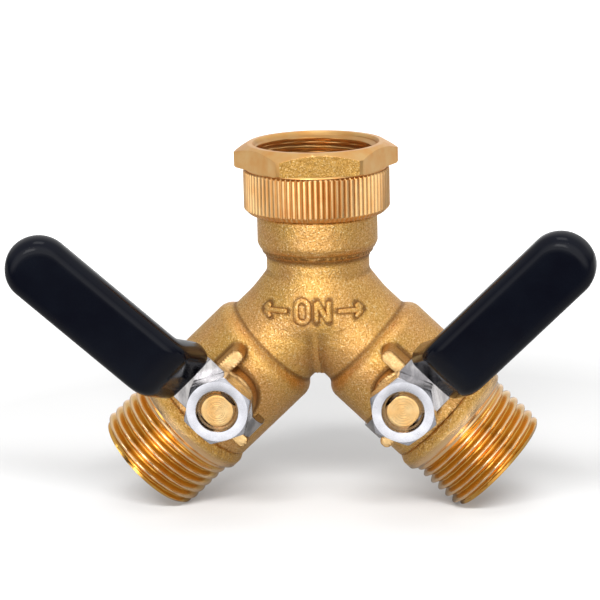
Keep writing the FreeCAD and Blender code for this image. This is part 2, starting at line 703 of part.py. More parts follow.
def main():
    """Build every part and write one STEP file for each."""
    os.makedirs("parts", exist_ok=True)
    shapes = {
        "y_body": y_body(),
        "swivel_nut": swivel_nut(),
        "swivel_tail": swivel_tail(),
        "inlet_washer": inlet_washer(),
        "tail_seal": tail_seal(),
    }
    for name, shape in branch_parts("right").items():
        shapes["right_" + name] = shape
    for name, shape in branch_parts("left").items():
        shapes["left_" + name] = mirrored(shape)
    for name, shape in shapes.items():
        shape.exportStep("parts/" + name + ".step")


main()
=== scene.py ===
"""Looks of a brass garden hose splitter: swivel inlet nut, two lever ball valves, two threaded outlets.

Every piece is a surface of two parameters, or the level surface of a smooth distance function, worked
out with numpy in millimetres in the part's own frame and scaled to metres when its mesh is made.
"""
import json
import math

import bmesh
import bpy
import numpy as np
from mathutils import Matrix, Vector


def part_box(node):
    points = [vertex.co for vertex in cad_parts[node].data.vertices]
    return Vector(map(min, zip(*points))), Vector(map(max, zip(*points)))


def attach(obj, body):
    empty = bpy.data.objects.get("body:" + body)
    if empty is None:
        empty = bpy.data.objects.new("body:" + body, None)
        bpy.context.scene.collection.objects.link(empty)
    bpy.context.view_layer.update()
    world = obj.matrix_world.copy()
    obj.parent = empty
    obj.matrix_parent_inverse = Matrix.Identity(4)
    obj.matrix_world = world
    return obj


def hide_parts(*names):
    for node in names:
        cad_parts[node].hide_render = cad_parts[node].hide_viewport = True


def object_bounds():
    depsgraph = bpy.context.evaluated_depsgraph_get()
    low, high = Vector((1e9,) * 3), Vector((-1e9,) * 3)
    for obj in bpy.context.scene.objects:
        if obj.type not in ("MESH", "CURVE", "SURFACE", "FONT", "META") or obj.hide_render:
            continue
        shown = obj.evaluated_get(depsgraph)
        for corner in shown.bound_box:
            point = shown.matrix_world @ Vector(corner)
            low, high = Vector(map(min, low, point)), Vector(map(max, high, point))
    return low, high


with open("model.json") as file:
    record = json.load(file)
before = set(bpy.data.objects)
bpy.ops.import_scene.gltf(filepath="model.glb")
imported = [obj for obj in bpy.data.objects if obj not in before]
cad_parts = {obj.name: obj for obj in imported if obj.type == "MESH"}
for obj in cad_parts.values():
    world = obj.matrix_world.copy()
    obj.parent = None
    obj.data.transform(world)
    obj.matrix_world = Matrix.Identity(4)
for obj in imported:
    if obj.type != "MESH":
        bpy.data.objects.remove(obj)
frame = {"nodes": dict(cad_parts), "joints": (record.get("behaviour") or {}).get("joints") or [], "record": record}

cad_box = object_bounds()
MM = 0.001
ORIGIN = np.zeros(3)
UPRIGHT = np.eye(3)
SIDES = ("left", "right")
MIRROR = {"left": np.array([-1, 1, 1]), "right": np.array([1, 1, 1])}
mounts = {mount["name"]: mount for mount in frame["record"]["mounts"]}
joints = {joint["name"]: joint for joint in frame["joints"]}


def spot(place):
    """A place in the frame's metres as an array in millimetres."""
    return np.array(place, float) / MM


def unit(vector):
    """The vector at length one."""
    return np.asarray(vector, float) / np.linalg.norm(vector)


# Places that the frame gives
OUT = {side: unit(mounts[side + "_outlet"]["axis"]) for side in SIDES}
FRONT = np.array([0.0, -1.0, 0.0])
STEM = {side: spot(joints[side + "_lever_turn"]["pos_m"]) for side in SIDES}
STEM_PLACE = STEM["right"][0] / OUT["right"][0]
JUNCTION = STEM["right"] - STEM_PLACE * OUT["right"]
BODY_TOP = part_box("y_body")[1].z / MM
NUT_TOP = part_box("swivel_nut")[1].z / MM
NUT_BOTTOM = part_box("swivel_nut")[0].z / MM
NUT_FACE = -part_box("right_lever_nut")[0].y / MM
PLATE_TOP = -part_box("right_lever_nut")[1].y / MM
STEM_END = -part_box("right_stem")[0].y / MM
PAD_TOP = -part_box("y_body")[0].y / MM

# How near doubled points are, how flat neighbouring CAD faces are, and the most that a corner is cut back
MERGE_REACH = 0.002
NODE_MERGE_REACH = 0.001
NODE_FLAT_DEGREES = 0.2
CORNER_SHARE = 0.45

# Hose thread, 3/4-11.5 NH
PITCH = 25.4 / 11.5
FLANK_SLOPE = math.tan(math.radians(30))
THREAD_CORNER = 0.035
THREAD_SAMPLES = 5
THREAD_FADE = 0.8

# Swivel nut
MOUTH_R = 14.1
FEMALE_CREST_R = mounts["inlet"]["dims"]["r_mm"]
FEMALE_ROOT_R = 13.65
FEMALE_START = -1.0
FEMALE_END = 7.84
HEX_FLATS = 32.0
HEX_CORNER_R = 18.2
HEX_HEIGHT = 5.1
HEX_CHAMFER = 0.8
HEX_CHAMFER_DROP = 0.5
HEX_BREAK_IN = 0.3
HEX_BREAK_UP = 0.25
HEX_TURN = 8.0
GROOVE_R = 15.6
GROOVE_HEIGHT = 0.6
KNURL_R = 16.25
KNURL_DEPTH = 0.45
KNURL_TEETH = 84
KNURL_BEVEL = 1.1
KNURL_FLANK = (0.05, 0.75)
KNURL_MARGIN = 0.2
HEX_MARGIN = 0.01
NUT_EDGE = 0.12
NUT_COLUMNS = 6 * KNURL_TEETH
NUT_CONE_ROWS = 16
NUT_THREAD_ROWS = 64
NUT_LIP_TOP = -4.35
NUT_WALL_R = 13.0
BARREL_HOLE_R = 8.9

# Body
NECK_R = 13.4
NECK_SHOULDER = 12.9
NECK_STEP_R = 12.6
NECK_STEP = 11.2
WAIST_R = 11.45
WAIST = 9.5
ARM_R = 11.8
CHAMBER_R = 13.65
CHAMBER_START = 14.6
CHAMBER_ROUND = 3.4
CHAMBER_FOOT = 2.8
BODY_END = 37.9
PAD_R = 7.2
FINGER_NEAR = 3.3
FINGER_WIDTH = 3.2
FINGER_REACH = 11.1
FINGER_ROUND = 1.5
CLOSED_FINGER_NEAR = 1.7
CLOSED_FINGER_WIDTH = 2.8
CLOSED_FINGER_REACH = 10.6
CLOSED_FINGER_ROUND = 1.3
NECK_BORE_R = 8.0
NECK_BORE_DEPTH = 17.25
WATERWAY_R = 6.2
CAVITY_R = 10.2
SPIGOT_R = 11.2
SEAT_R = 9.3
SEAT_FLOOR = 20.5
CAVITY_FLOOR = 24.1
SPIGOT_FLOOR = 33.2
STEM_BORE_R = 4.08
STEM_POCKET_R = 5.0
STEM_POCKET_TOP = 12.75

# How softly the casting's forms run into each other, and how its surface is found
BODY_STEP = 0.47
CROTCH_WIDTH = 1.1
VALLEY_WIDTH = 4.0
WEB_TOP = 4.0
WEB_FOOT = 10.0
WEB_HALF_WIDTH = 0.45
WEB_HEIGHT = 0.35
WEB_EDGE = 0.8
NECK_WIDTH = 0.5
NECK_EDGE = 0.8
CREASE_WIDTH = 0.8
# Height above the junction and depth of each crease round the neck
CREASES = ((11.35, 0.22), (10.2, 0.14))
CREASE_REACH = 0.3
PAD_EDGE = 0.5
PAD_FOOT = 0.8
SEAM_EDGE = 0.5
PROFILE_SHIFTS = (-0.3, 0, 0.3)
FINGER_BLEND = 0.3
FINGER_INSIDE = 2.0
CUT_PAST = 5.0
CUT_OVERLAP = 1.0
SLOPE_REACH = 0.02
HALVINGS = 14
PLANE_PULL = 0.05
BODY_MARGIN = 2.0

# Where painted shade darkens the brass in hollows, grooves, the nut's mouth, the pads' walls, the arms' valley and
# round the letters, and where it is worn or milled; a pair is a ramp's start and end
HOLLOW_REACH = 0.8
HOLLOW_START = 0.08
HOLLOW_FULL = 0.6
HOLLOW_BESIDE = 0.45
GROOVE_PAINTED_SHADE = 0.35
WALL_FRONT = 11.5
WALL_PAINTED_SHADE = 0.5
WALL_FACING = (0.3, 0.8)
VALLEY_PAINTED_SHADE = 0.5
VALLEY_NEAR = 1.0
VALLEY_REACH = 3.6
VALLEY_FADE = 3.0
MIDDLE_TOP = (8.0, 9.0)
MIDDLE_CLEAR = (1.5, 2.5)
LETTER_LEAST = 0.03
LETTER_PAINTED_SHADE_SHARE = 0.7
LETTER_SEARCH = 3.0
FAR_AWAY = 9.0
PAD_POLISH = 0.7
MILLED_DEPTH = (0.7, 0.2)
MILLED_FACING = (0.6, 0.95)
CLOSED_STOP_SIDE = 2.5
CLOSED_STOP_BACK = 2.0
FACET_FACING = 0.97
FACET_MARGIN = 0.3
KNURL_WORN = 0.3
KNURL_REACH = 1.2
MOUTH_PAINTED_SHADE = 0.4
MOUTH_RIM = 0.2
CREST_WORN = (0.7, 0.1)
OUTSIDE_MARGIN = 0.3

# Outlets
MALE_CREST_R = mounts["right_outlet"]["dims"]["r_mm"]
MALE_ROOT_R = 12.1
MALE_START = 42.96
MALE_END = 54.9
OUTLET_END = 55.6
OUTLET_EDGE = 0.7
OUTLET_HOLE_R = 6.5
OUTLET_MOUTH_R = 9.2
OUTLET_FLARE = 12.0
COLLAR_R = 14.35
COLLAR_START = 39.6
COLLAR_END = 41.7
COLLAR_TURNED = 0.9
BAND_R = 13.2
BAND_DROP = 0.9
BAND_TURN = 0.4
SEAM_CUT = 0.35
SPIGOT_GAP = 0.2
SEAT_BACK = 7.6
LEAD_DROP = 0.36
LEAD_CUT = 0.35
OUTLET_ROUND = 0.15
OUTLET_COLUMNS = 240
OUTLET_THREAD_ROWS = 100

# Levers, sleeves and nuts
LEVER_LEAN = {"left": -0.9, "right": 0.3}
PLATE_T = 2.0
PLATE_HALF_WIDTH = 6.0
PLATE_MIDDLE = PLATE_TOP - PLATE_T / 2
CRANK_START = 10.3
CRANK_END = 16.6
ARM_HEIGHT = 33.7
ARM_TILT = 13.3
TIP_CENTRE = 49.4
SLEEVE_START = 10.6
SLEEVE_HALF_WIDTH = 7.2
SLEEVE_WALL = 2.2
SLEEVE_ROUND = 2.5
SLEEVE_CROWN = 0.15
SLEEVE_BEND_R = 4.6
LIP_LENGTH = 2.8
LIP_WALL = 0.4
LIP_ROWS = 12
SLEEVE_ROWS = 90
INSIDE_ROWS = 60
INSIDE_EDGE = 0.3
GRIP_EDGE_POINTS = 15
GRIP_FLAT_POINTS = 13
GRIP_FAN_ROWS = 17
GRIP_ROUND_SHARE = 0.96
LEVER_BEND_R = 3.0
LINE_STEP = 0.01
FIT_GAP = 0.02
STEM_R = 4.0
LEVER_NUT_FLATS = 13.4
LEVER_NUT_TURN = {"left": -2.5, "right": -8.5}
LEVER_NUT_UNDERCUT = 0.3
# Radius of the hole and depth below the nut's face
LEVER_NUT_HOLE = ((4.72, 0), (4.6, 0.12), (4.45, 1.3), (STEM_R + FIT_GAP, 1.6))
LEVER_NUT_EDGE = 0.05
LEVER_NUT_COLUMNS = 120
LEVER_NUT_CONE_ROWS = 12
STEM_FLANGE_R = 4.8
STEM_FLANGE = (10.2, 11.9)
STEM_FLATS = 6.6
STEM_EDGE = 0.55
STEM_ROUND = 0.06
STEM_COLUMNS = 96
STEM_END_ROWS = 12
FLATS_START = PLATE_TOP - PLATE_T
FLATS_STEP = 0.05
FLATS_EDGE = 0.02
RING_HEIGHTS = (14.6, 16.6)
RING_HALF_GROOVE = 0.64
RING_GROOVE = 1.02
TANG_BOTTOM = 7.0
TANG_TOP = 11.0
TANG_WIDTH = 4.0
TANG_LENGTH = 8.0
TANG_POWER = 8
TANG_COLUMNS = 48
# Rows of the tang, as shares of its height and of its size
TANG_HEIGHTS = (0, 0, 0.15, 1, 1)
TANG_SHARES = (0, 0.94, 1, 1, 0)

# Raised lettering
LETTER_HEIGHT = 6.3
LETTER_WIDTH = 4.15
LETTER_HALF_STROKE = 0.68
LETTER_GAP = 0.4
LETTER_CENTRE = -0.3
LETTER_RAISE = 0.58
LETTER_SINK = 0.3
LETTER_BASE = -3.8
ARROW_START = 5.5
ARROW_LENGTH = 5.4
ARROW_HEAD = 1.5
ARROW_HALF_STROKE = 0.6
STROKE_POINTS = 20
STROKE_POWER = 0.8
STROKE_STEP = 0.1
STROKE_LEAST_POINTS = 8
OVAL_POINTS = 72
OVAL_STRAIGHTEN = 3

# Tones, as plain light values
CAST_TONE = (1.0, 0.62, 0.17)
CAST_PINK = (1.0, 0.57, 0.20)
CAST_DARK = (0.44, 0.18, 0.03)
# Painted shade: the tone laid into hollows, grooves, the nut's mouth, the pads' walls and round the letters
CAST_PAINTED_SHADE = (0.22, 0.10, 0.03)
# The specks' tone: partly the grain's own pale tone, partly painted sparkle
CAST_SPECK = (1.0, 0.88, 0.60)
MACHINED_TONE = (0.95, 0.57, 0.14)
FACED_TONE = (0.96, 0.68, 0.34)
WORN_TONE = (0.96, 0.70, 0.46)
STAIN_SHARES = (0.97, 0.80, 0.60)
NUT_TONE = (0.98, 0.60, 0.24)
STEM_TONE = (0.74, 0.50, 0.23)
STEEL_TONE = (0.64, 0.64, 0.68)
STEEL_SHADE = (0.58, 0.58, 0.62)
PLATE_TONE = (0.50, 0.48, 0.47)
PLATE_SHADE = (0.26, 0.25, 0.25)
VINYL_TONE = (0.002, 0.002, 0.004)
VINYL_BLUE = (0.003, 0.004, 0.007)
PTFE_TONE = (0.82, 0.82, 0.80)
PTFE_SHADE = (0.72, 0.72, 0.70)
RUBBER_TONE = (0.016, 0.016, 0.016)
RUBBER_SHADE = (0.03, 0.03, 0.03)
SPECK_SHARE = 0.8
FACED_SHARE = 0.7
# The next two are how far painted shade darkens cast and turned brass
CAST_PAINTED_SHADE_SHARE = 0.85
TURNED_PAINTED_SHADE_SHARE = 0.8
WORN_SHARE = 0.75
# Grain from and to, and the share of the bright tone there
GRAIN_SHADE = (0, 1, 0.15, 1.0)

# Scale and depth in millimetres of the tool marks
TURNED_MARKS = (4200.0, 0.014)
OUTLET_MARKS = (4200.0, 0.004)
STEM_MARKS = (5200.0, 0.1)

# Camera, its places in millimetres
CAMERA_LENS = 167.918
CAMERA_SENSOR = 36.0
CAMERA_DISTANCE = 627.25
CAMERA_ELEVATION = 13.0235
CAMERA_YAW = 5.7794
CAMERA_ROLL = 1.2881
CAMERA_TARGET = (-4.2543, 0.0, JUNCTION[2] - 0.8852)

# Floor, its distances in metres; a grip's tip stands the clearance in millimetres above it
FLOOR_HALF_WIDTH = 4.0
FLOOR_TONE = (0.52, 0.52, 0.52)
FLOOR_BOUNCE = (0.25, 0.25, 0.25)
FLOOR_GLOW = 0.15
FLOOR_SHINE = 0.35
FLOOR_NEAR = 0.12
FLOOR_FAR = 0.35
FLOOR_FRONT = 0.12
FLOOR_FADE = 0.06
TIP_CLEARANCE = 8.5

# World: how bright its parts are, and the shares of a heading between which they rise
ROOM_START = -0.2
ROOM_LEFT = 0.02
ROOM_RIGHT = 0.18
SKY_RISE = (-0.1, 0.35)
SKY_LEFT = 0.6
SKY_RIGHT = 0.85
PANEL_FOOT = (-0.46, -0.28)
PANEL_SIDES = (-0.4, -0.88)
PANEL_LEVEL = 1.62
BACKDROP_START = 0.8

# Each lamp's name, place and size in metres, its watts, and whether glossy surfaces show it
LAMPS = (
    ("key_box", (-0.15, -0.85, 0.2), 0.3, 0.3, 1.0, True),
    ("top_box", (0.0, -0.2, 0.9), 0.4, 0.4, 1.2, True),
    ("shadow_lamp", (0.0, -0.6, 0.45), 0.6, 0.1, 9.5, False))


# Meshes

def grid_faces(rows, columns, closed_rows):
    """Corner numbers of a grid's quads. Columns always join up; rows join up when closed_rows is true."""
    row, column = np.meshgrid(np.arange(rows - (not closed_rows)), np.arange(columns), indexing="ij")
    below = (row + 1) % rows
    beside = (column + 1) % columns
    corners = [row * columns + column, below * columns + column, below * columns + beside,
               row * columns + beside]
    return np.stack(corners, -1).reshape(-1, 4)


def outward(points, faces):
    """The faces, turned round if the volume that they enclose comes out negative."""
    a, b, c, d = (points[faces[:, k]] for k in range(4))
    volume = np.einsum("ij,ij->", a, np.cross(b - a, c - a)) + np.einsum("ij,ij->", a, np.cross(c - a, d - a))
    centre = points.mean(0)
    volume -= np.einsum("j,ij->", centre, np.cross(b - a, c - a) + np.cross(c - a, d - a))
    return faces if volume > 0 else faces[:, ::-1]


def joined(shells):
    """Several (points, faces) shells as one, each with its faces turned outwards."""
    starts = np.cumsum([0] + [len(points) for points, _ in shells[:-1]])
    faces = [outward(points, corners) + start for (points, corners), start in zip(shells, starts)]
    return np.concatenate([points for points, _ in shells]), np.concatenate(faces)


def added(name, data):
    """A new object in the scene."""
    made = bpy.data.objects.new(name, data)
    bpy.context.scene.collection.objects.link(made)
    return made


def merge(mesh, reach, flat_degrees=0.0):
    """Merge a mesh's doubled points and, where an angle is given, join faces that are flatter than it."""
    work = bmesh.new()
    work.from_mesh(mesh)
    bmesh.ops.remove_doubles(work, verts=work.verts, dist=reach * MM)
    if flat_degrees:
        bmesh.ops.dissolve_limit(
            work, angle_limit=math.radians(flat_degrees), verts=work.verts, edges=work.edges)
    work.to_mesh(mesh)
    work.free()


def finish_piece(name, mesh, body, nodes, material, sharp_degrees):
    """A piece from its mesh, smooth except across sharp edges, on its body and in the nodes' place."""
    mesh.shade_smooth()
    mesh.set_sharp_from_angle(angle=math.radians(sharp_degrees))
    mesh.materials.clear()
    mesh.materials.append(material)
    piece = added(name, mesh)
    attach(piece, body)
    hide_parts(*nodes)
    return piece


def make_piece(name, shells, body, nodes, material, sharp_degrees=32.0):
    """One piece from shells of points in millimetres, its doubled points merged at seams and poles."""
    points, faces = joined(shells)
    mesh = bpy.data.meshes.new(name)
    mesh.from_pydata(points * MM, [], faces)
    merge(mesh, MERGE_REACH)
    return finish_piece(name, mesh, body, nodes, material, sharp_degrees)


def dressed_copy(node, body, material, bevel, sharp_degrees=30.0):
    """A copy of a CAD node with its triangles merged and its edges broken by a bevel."""
    mesh = frame["nodes"][node].data.copy()
    merge(mesh, NODE_MERGE_REACH, NODE_FLAT_DEGREES)
    piece = finish_piece(node + "_finished", mesh, body, [node], material, sharp_degrees)
    edge = piece.modifiers.new("broken_edges", "BEVEL")
    edge.width = bevel * MM
    edge.segments = 2
    edge.limit_method = "ANGLE"
    edge.angle_limit = math.radians(sharp_degrees)
    edge.harden_normals = True


# Outlines and turned surfaces

def rounded(corners, size):
    """Outline through (radius, height) corners, each cut back by a size and bridged by a curve's middle."""
    corners = np.asarray(corners, float)
    back = np.roll(corners, 1, 0) - corners
    ahead = np.roll(corners, -1, 0) - corners
    back_length = np.linalg.norm(back, axis=1, keepdims=True)
    ahead_length = np.linalg.norm(ahead, axis=1, keepdims=True)
    cut = np.minimum(size, CORNER_SHARE * np.minimum(back_length, ahead_length))
    start = corners + back / back_length * cut
    end = corners + ahead / ahead_length * cut
    outline = np.stack([start, (start + end + 2 * corners) / 4, end], 1)
    return np.concatenate([corners[:1], outline[1:-1].reshape(-1, 2), corners[-1:]])


def spun(outline, columns, first_degrees=0.0):
    """Radius and height of an outline at each of some evenly spaced angles, and those angles."""
    angle = np.linspace(0, 2 * np.pi, columns, endpoint=False) + math.radians(first_degrees)
    return np.repeat(outline[:, :1], columns, 1), np.repeat(outline[:, 1:], columns, 1), angle


def turned(radius, height, angle, centre=ORIGIN, axes=UPRIGHT):
    """Points at a radius and height, both (stations, angles), about an axis.

    axes are the two directions across the axis and the one along it: a point stands at
    centre + radius (cos angle across + sin angle second) + height along.
    """
    across = np.cos(angle)[:, None] * axes[0] + np.sin(angle)[:, None] * axes[1]
    return (centre + radius[..., None] * across + height[..., None] * axes[2]).reshape(-1, 3)


def hexagon_radius(angle, flats, turn):
    """Distance from a hexagon's centre to its outline in a direction; turn places one corner."""
    from_flat = np.mod(angle - turn, np.pi / 3) - np.pi / 6
    return flats / 2 / np.cos(from_flat)


def thread_height(angle, height, rise, flank):
    """Height of a helical ridge from 0 at the root to 1 at the crest.

    The ridge climbs one pitch a turn; across a pitch it is a wave of straight flanks, flat at root
    and crest, and its four corners are rounded by averaging the wave over a short stretch.
    """
    turn = (height - rise) / PITCH - angle / (2 * np.pi)
    share = flank / (PITCH / 2)
    total = 0
    for shift in np.linspace(-THREAD_CORNER, THREAD_CORNER, THREAD_SAMPLES):
        wave = 1 - np.abs(2 * np.mod(turn + shift, 1) - 1)
        total = total + np.clip((wave - (1 - share) / 2) / share, 0, 1)
    return total / THREAD_SAMPLES


def ramp(value, low, high):
    """0 below low, 1 above high and an even S curve between."""
    part = np.clip((value - low) / (high - low), 0, 1)
    return part * part * (3 - 2 * part)


# Swivel nut

def nut_shell():
    """Swivel nut: radius is the smallest of its outline, a hexagon above and a toothed circle below.

    Inside the mouth the radius is the root's less the helical ridge's height.
    """
    hex_bottom = NUT_TOP - HEX_HEIGHT
    knurl_top = hex_bottom - GROOVE_HEIGHT
    flat_r = HEX_FLATS / 2
    shoulder = NUT_TOP - HEX_CHAMFER_DROP
    corner_drop = (HEX_CORNER_R - flat_r) * FLANK_SLOPE
    cone = np.linspace(flat_r, HEX_CORNER_R, NUT_CONE_ROWS)
    outer_top = np.concatenate([
        rounded([(MOUTH_R, NUT_TOP), (flat_r - HEX_CHAMFER, NUT_TOP), (flat_r, shoulder)], NUT_EDGE),
        np.stack([cone, shoulder - (cone - flat_r) * FLANK_SLOPE], 1)[1:]])
    outer_bottom = rounded([
        (HEX_CORNER_R, shoulder - corner_drop), (HEX_CORNER_R, hex_bottom + HEX_BREAK_UP),
        (HEX_CORNER_R - HEX_BREAK_IN, hex_bottom), (GROOVE_R, hex_bottom), (GROOVE_R, knurl_top),
        (KNURL_R - KNURL_DEPTH, knurl_top),
        (KNURL_R, knurl_top - KNURL_DEPTH), (KNURL_R, NUT_BOTTOM + KNURL_BEVEL),
        (KNURL_R - KNURL_BEVEL, NUT_BOTTOM), (BARREL_HOLE_R, NUT_BOTTOM), (BARREL_HOLE_R, NUT_LIP_TOP),
        (NUT_WALL_R, NUT_LIP_TOP), (NUT_WALL_R, FEMALE_START)], NUT_EDGE)[1:]
    rows = np.linspace(FEMALE_START, FEMALE_END, NUT_THREAD_ROWS)[1:]
    inner = np.stack([np.full(rows.shape, FEMALE_ROOT_R), rows], 1)
    outline = np.concatenate([outer_top, outer_bottom, inner])
    radius, height, angle = spun(outline, NUT_COLUMNS, HEX_TURN)
    first = len(outer_top) + len(outer_bottom)
    is_outer = np.arange(len(outline)) < first
    is_hex = is_outer & (outline[:, 1] >= hex_bottom - HEX_MARGIN)
    radius[is_hex] = np.minimum(radius[is_hex], hexagon_radius(angle, HEX_FLATS, math.radians(HEX_TURN)))
    tooth = np.abs(2 * np.mod(angle * KNURL_TEETH / (2 * np.pi), 1) - 1)
    toothed = KNURL_R - KNURL_DEPTH * (1 - ramp(tooth, *KNURL_FLANK))
    is_knurl = is_outer & (outline[:, 1] < knurl_top)
    is_knurl &= outline[:, 0] > KNURL_R - KNURL_BEVEL - KNURL_MARGIN
    radius[is_knurl] = np.minimum(radius[is_knurl], toothed)
    flank = (FEMALE_ROOT_R - FEMALE_CREST_R) * FLANK_SLOPE
    rise = height[first:]
    ridge = thread_height(angle, rise, FEMALE_START, flank)
    ridge = ridge * ramp(rise, FEMALE_START, FEMALE_START + PITCH / 2)
    ridge = ridge * (1 - ramp(rise, FEMALE_END - THREAD_FADE, FEMALE_END))
    radius[first:] = FEMALE_ROOT_R - (FEMALE_ROOT_R - FEMALE_CREST_R) * ridge
    return turned(radius, height, angle), grid_faces(len(outline), NUT_COLUMNS, True)


# Outlets

def outlet_axes(side):
    """Directions across a branch, to the front, and out along it."""
    return np.array([np.cross(FRONT, OUT[side]), FRONT, OUT[side]])


def outlet_shell(side):
    """Screwed-in end piece: a turned outline whose threaded stretch follows a right-hand helix."""
    inner_end = SPIGOT_FLOOR + SPIGOT_GAP
    seat = STEM_PLACE + SEAT_BACK
    last_r = MALE_CREST_R - LEAD_DROP
    before = rounded([
        (SEAT_R, inner_end), (SPIGOT_R, inner_end), (SPIGOT_R, BODY_END),
        (CHAMBER_R - SEAM_CUT, BODY_END), (CHAMBER_R, BODY_END + SEAM_CUT), (COLLAR_R, COLLAR_START),
        (COLLAR_R, COLLAR_END), (BAND_R, COLLAR_END + BAND_DROP), (BAND_R, MALE_START)], OUTLET_ROUND)
    rows = np.linspace(MALE_START, OUTLET_END - OUTLET_EDGE, OUTLET_THREAD_ROWS)[1:]
    thread = np.stack([np.full(rows.shape, MALE_CREST_R), rows], 1)
    after = rounded([
        (last_r, OUTLET_END - OUTLET_EDGE), (last_r - OUTLET_EDGE, OUTLET_END), (OUTLET_MOUTH_R, OUTLET_END),
        (OUTLET_HOLE_R, OUTLET_END - OUTLET_FLARE), (OUTLET_HOLE_R, seat), (SEAT_R, seat),
        (SEAT_R, inner_end)], OUTLET_ROUND)[1:]
    outline = np.concatenate([before, thread, after])
    radius, height, angle = spun(outline, OUTLET_COLUMNS)
    cut = slice(len(before), len(before) + len(thread))
    along = height[cut]
    depth = MALE_CREST_R - MALE_ROOT_R
    ridge = thread_height(angle, along, MALE_START, depth * FLANK_SLOPE)
    groove = depth * (1 - ridge) * ramp(along, MALE_START, MALE_START + PITCH / 2)
    lead = MALE_CREST_R - LEAD_CUT * ramp(along, MALE_END - THREAD_FADE, MALE_END)
    band = BAND_R + (MALE_CREST_R - BAND_R) * ramp(along, MALE_START, MALE_START + BAND_TURN * PITCH)
    radius[cut] = np.minimum(np.minimum(radius[cut], band) - groove, lead)
    points = turned(radius, height, angle, JUNCTION, outlet_axes(side))
    return points, grid_faces(len(outline), OUTLET_COLUMNS, True)


# Valve pieces. Their axes are: away to the side, back to the junction, and to the front.

def valve_axes(side):
    """A lever's length, the direction back to the junction and the front, turned by the lever's lean."""
    lean = math.radians(LEVER_LEAN[side])
    back = -OUT["right"]
    away = np.cross(back, FRONT)
    length = math.cos(lean) * away + math.sin(lean) * back
    return np.array([length, np.cross(FRONT, length), FRONT])


def valve_points(points, side):
    """Points in valve axes placed in the part's frame; the left side is the right one's mirror image."""
    return (JUNCTION + STEM_PLACE * OUT["right"] + points @ valve_axes(side)) * MIRROR[side]


def lever_nut_shell(side):
    """Hexagon nut with both ends turned to a cone and a countersunk hole."""
    flat_r = LEVER_NUT_FLATS / 2
    cone = np.linspace(flat_r, LEVER_NUT_FLATS / math.sqrt(3), LEVER_NUT_CONE_ROWS)
    drop = (cone - flat_r) * FLANK_SLOPE
    outline = np.concatenate([
        rounded([(STEM_R + FIT_GAP, PLATE_TOP + LEVER_NUT_UNDERCUT), (STEM_R + LEVER_NUT_UNDERCUT, PLATE_TOP),
                 (flat_r, PLATE_TOP)], LEVER_NUT_EDGE),
        np.stack([cone, PLATE_TOP + drop], 1)[1:], np.stack([cone, NUT_FACE - drop], 1)[::-1][:-1],
        rounded([(flat_r, NUT_FACE)] + [(r, NUT_FACE - depth) for r, depth in LEVER_NUT_HOLE],
                LEVER_NUT_EDGE)])
    radius, height, angle = spun(outline, LEVER_NUT_COLUMNS)
    is_outside = outline[:, 0] > flat_r
    corner = math.radians(LEVER_NUT_TURN[side])
    radius[is_outside] = np.minimum(radius[is_outside], hexagon_radius(angle, LEVER_NUT_FLATS, corner))
    points = valve_points(turned(radius, height, angle), side)
    return points, grid_faces(len(outline), LEVER_NUT_COLUMNS, True)


def lever_line(bend):
    """The bent lever's middle line: distance along it, reach, height and heading, in fine steps.

    Its heading stays level on the plate, climbs evenly round the first bend, holds up the crank, falls
    evenly round the second bend and holds to the tip; reach and height are the heading's cosine and
    sine summed along the line.
    """
    climb = math.atan2(ARM_HEIGHT - PLATE_MIDDLE, CRANK_END - CRANK_START)
    tilt = math.radians(ARM_TILT)
    first_cut = bend * math.tan(climb / 2)
    second_cut = bend * math.tan((climb - tilt) / 2)
    crank = math.hypot(ARM_HEIGHT - PLATE_MIDDLE, CRANK_END - CRANK_START)
    runs = [
        CRANK_START - first_cut, bend * climb, crank - first_cut - second_cut, bend * (climb - tilt),
        2 * TIP_CENTRE]
    knots = np.concatenate([[0], np.cumsum(runs)])
    length = np.arange(0, 2 * TIP_CENTRE, LINE_STEP)
    heading = np.interp(length, knots, [0, 0, climb, climb, tilt, tilt])
    reach = np.cumsum(np.cos(heading)) * LINE_STEP
    height = PLATE_MIDDLE + np.cumsum(np.sin(heading)) * LINE_STEP
    return length, reach, height, heading


def on_line(line, along, across, above):
    """Points in valve axes from distances along, across and above a lever's middle line."""
    length, *rest = line
    reach, height, heading = (np.interp(along, length, column) for column in rest)
    return np.stack([reach - above * np.sin(heading), across, height + above * np.cos(heading)], -1)


def length_at(line, reach):
    """Distance along a middle line at which it reaches a distance from the stem."""
    return np.interp(reach, line[1], line[0])


def grip_rows(line, stations, half_width, half_height, edge, crown):
    """Rows of a round-tipped grip over the lever, each row once round its section.

    The section is a flat core with a round edge: a point is the core's corner or side plus the edge's
    radius in a direction that turns once round. Past the last station the side directions fan round to
    the front, which closes the tip, and both broad faces swell by a crown towards their middle.
    """
    arc = np.linspace(-90, 90, GRIP_EDGE_POINTS)
    flat = np.linspace(1, -1, GRIP_FLAT_POINTS)[1:-1]
    turn = np.radians(np.concatenate([arc, np.full(flat.shape, 90), 180 + arc, np.full(flat.shape, 270)]))
    core_side = np.concatenate([np.ones(len(arc)), flat, -np.ones(len(arc)), -flat])
    side = np.where(core_side < 0, -1.0, 1.0)
    fan = np.linspace(0, np.pi / 2, GRIP_FAN_ROWS)[1:]
    share = np.concatenate([np.zeros(len(stations)), fan])[:, None]
    base = np.concatenate([stations, np.full(len(fan), stations[-1])])[:, None]
    width = np.concatenate([half_width, np.full(len(fan), half_width[-1])])[:, None]
    thick = np.concatenate([half_height, np.full(len(fan), half_height[-1])])[:, None]
    round_r = np.minimum(edge, GRIP_ROUND_SHARE * thick)
    reach_out = np.abs(core_side) * (width - round_r) + round_r * np.abs(np.cos(turn))
    above = np.sign(np.round(np.sin(turn), 6)) * (thick - round_r) + round_r * np.sin(turn)
    swell = crown * (1 - np.minimum(reach_out / width, 1) ** 2) * np.sign(np.round(np.sin(turn), 6))
    along = base + reach_out * np.sin(share)
    across = side * reach_out * np.cos(share)
    return on_line(line, along, across, above + swell)


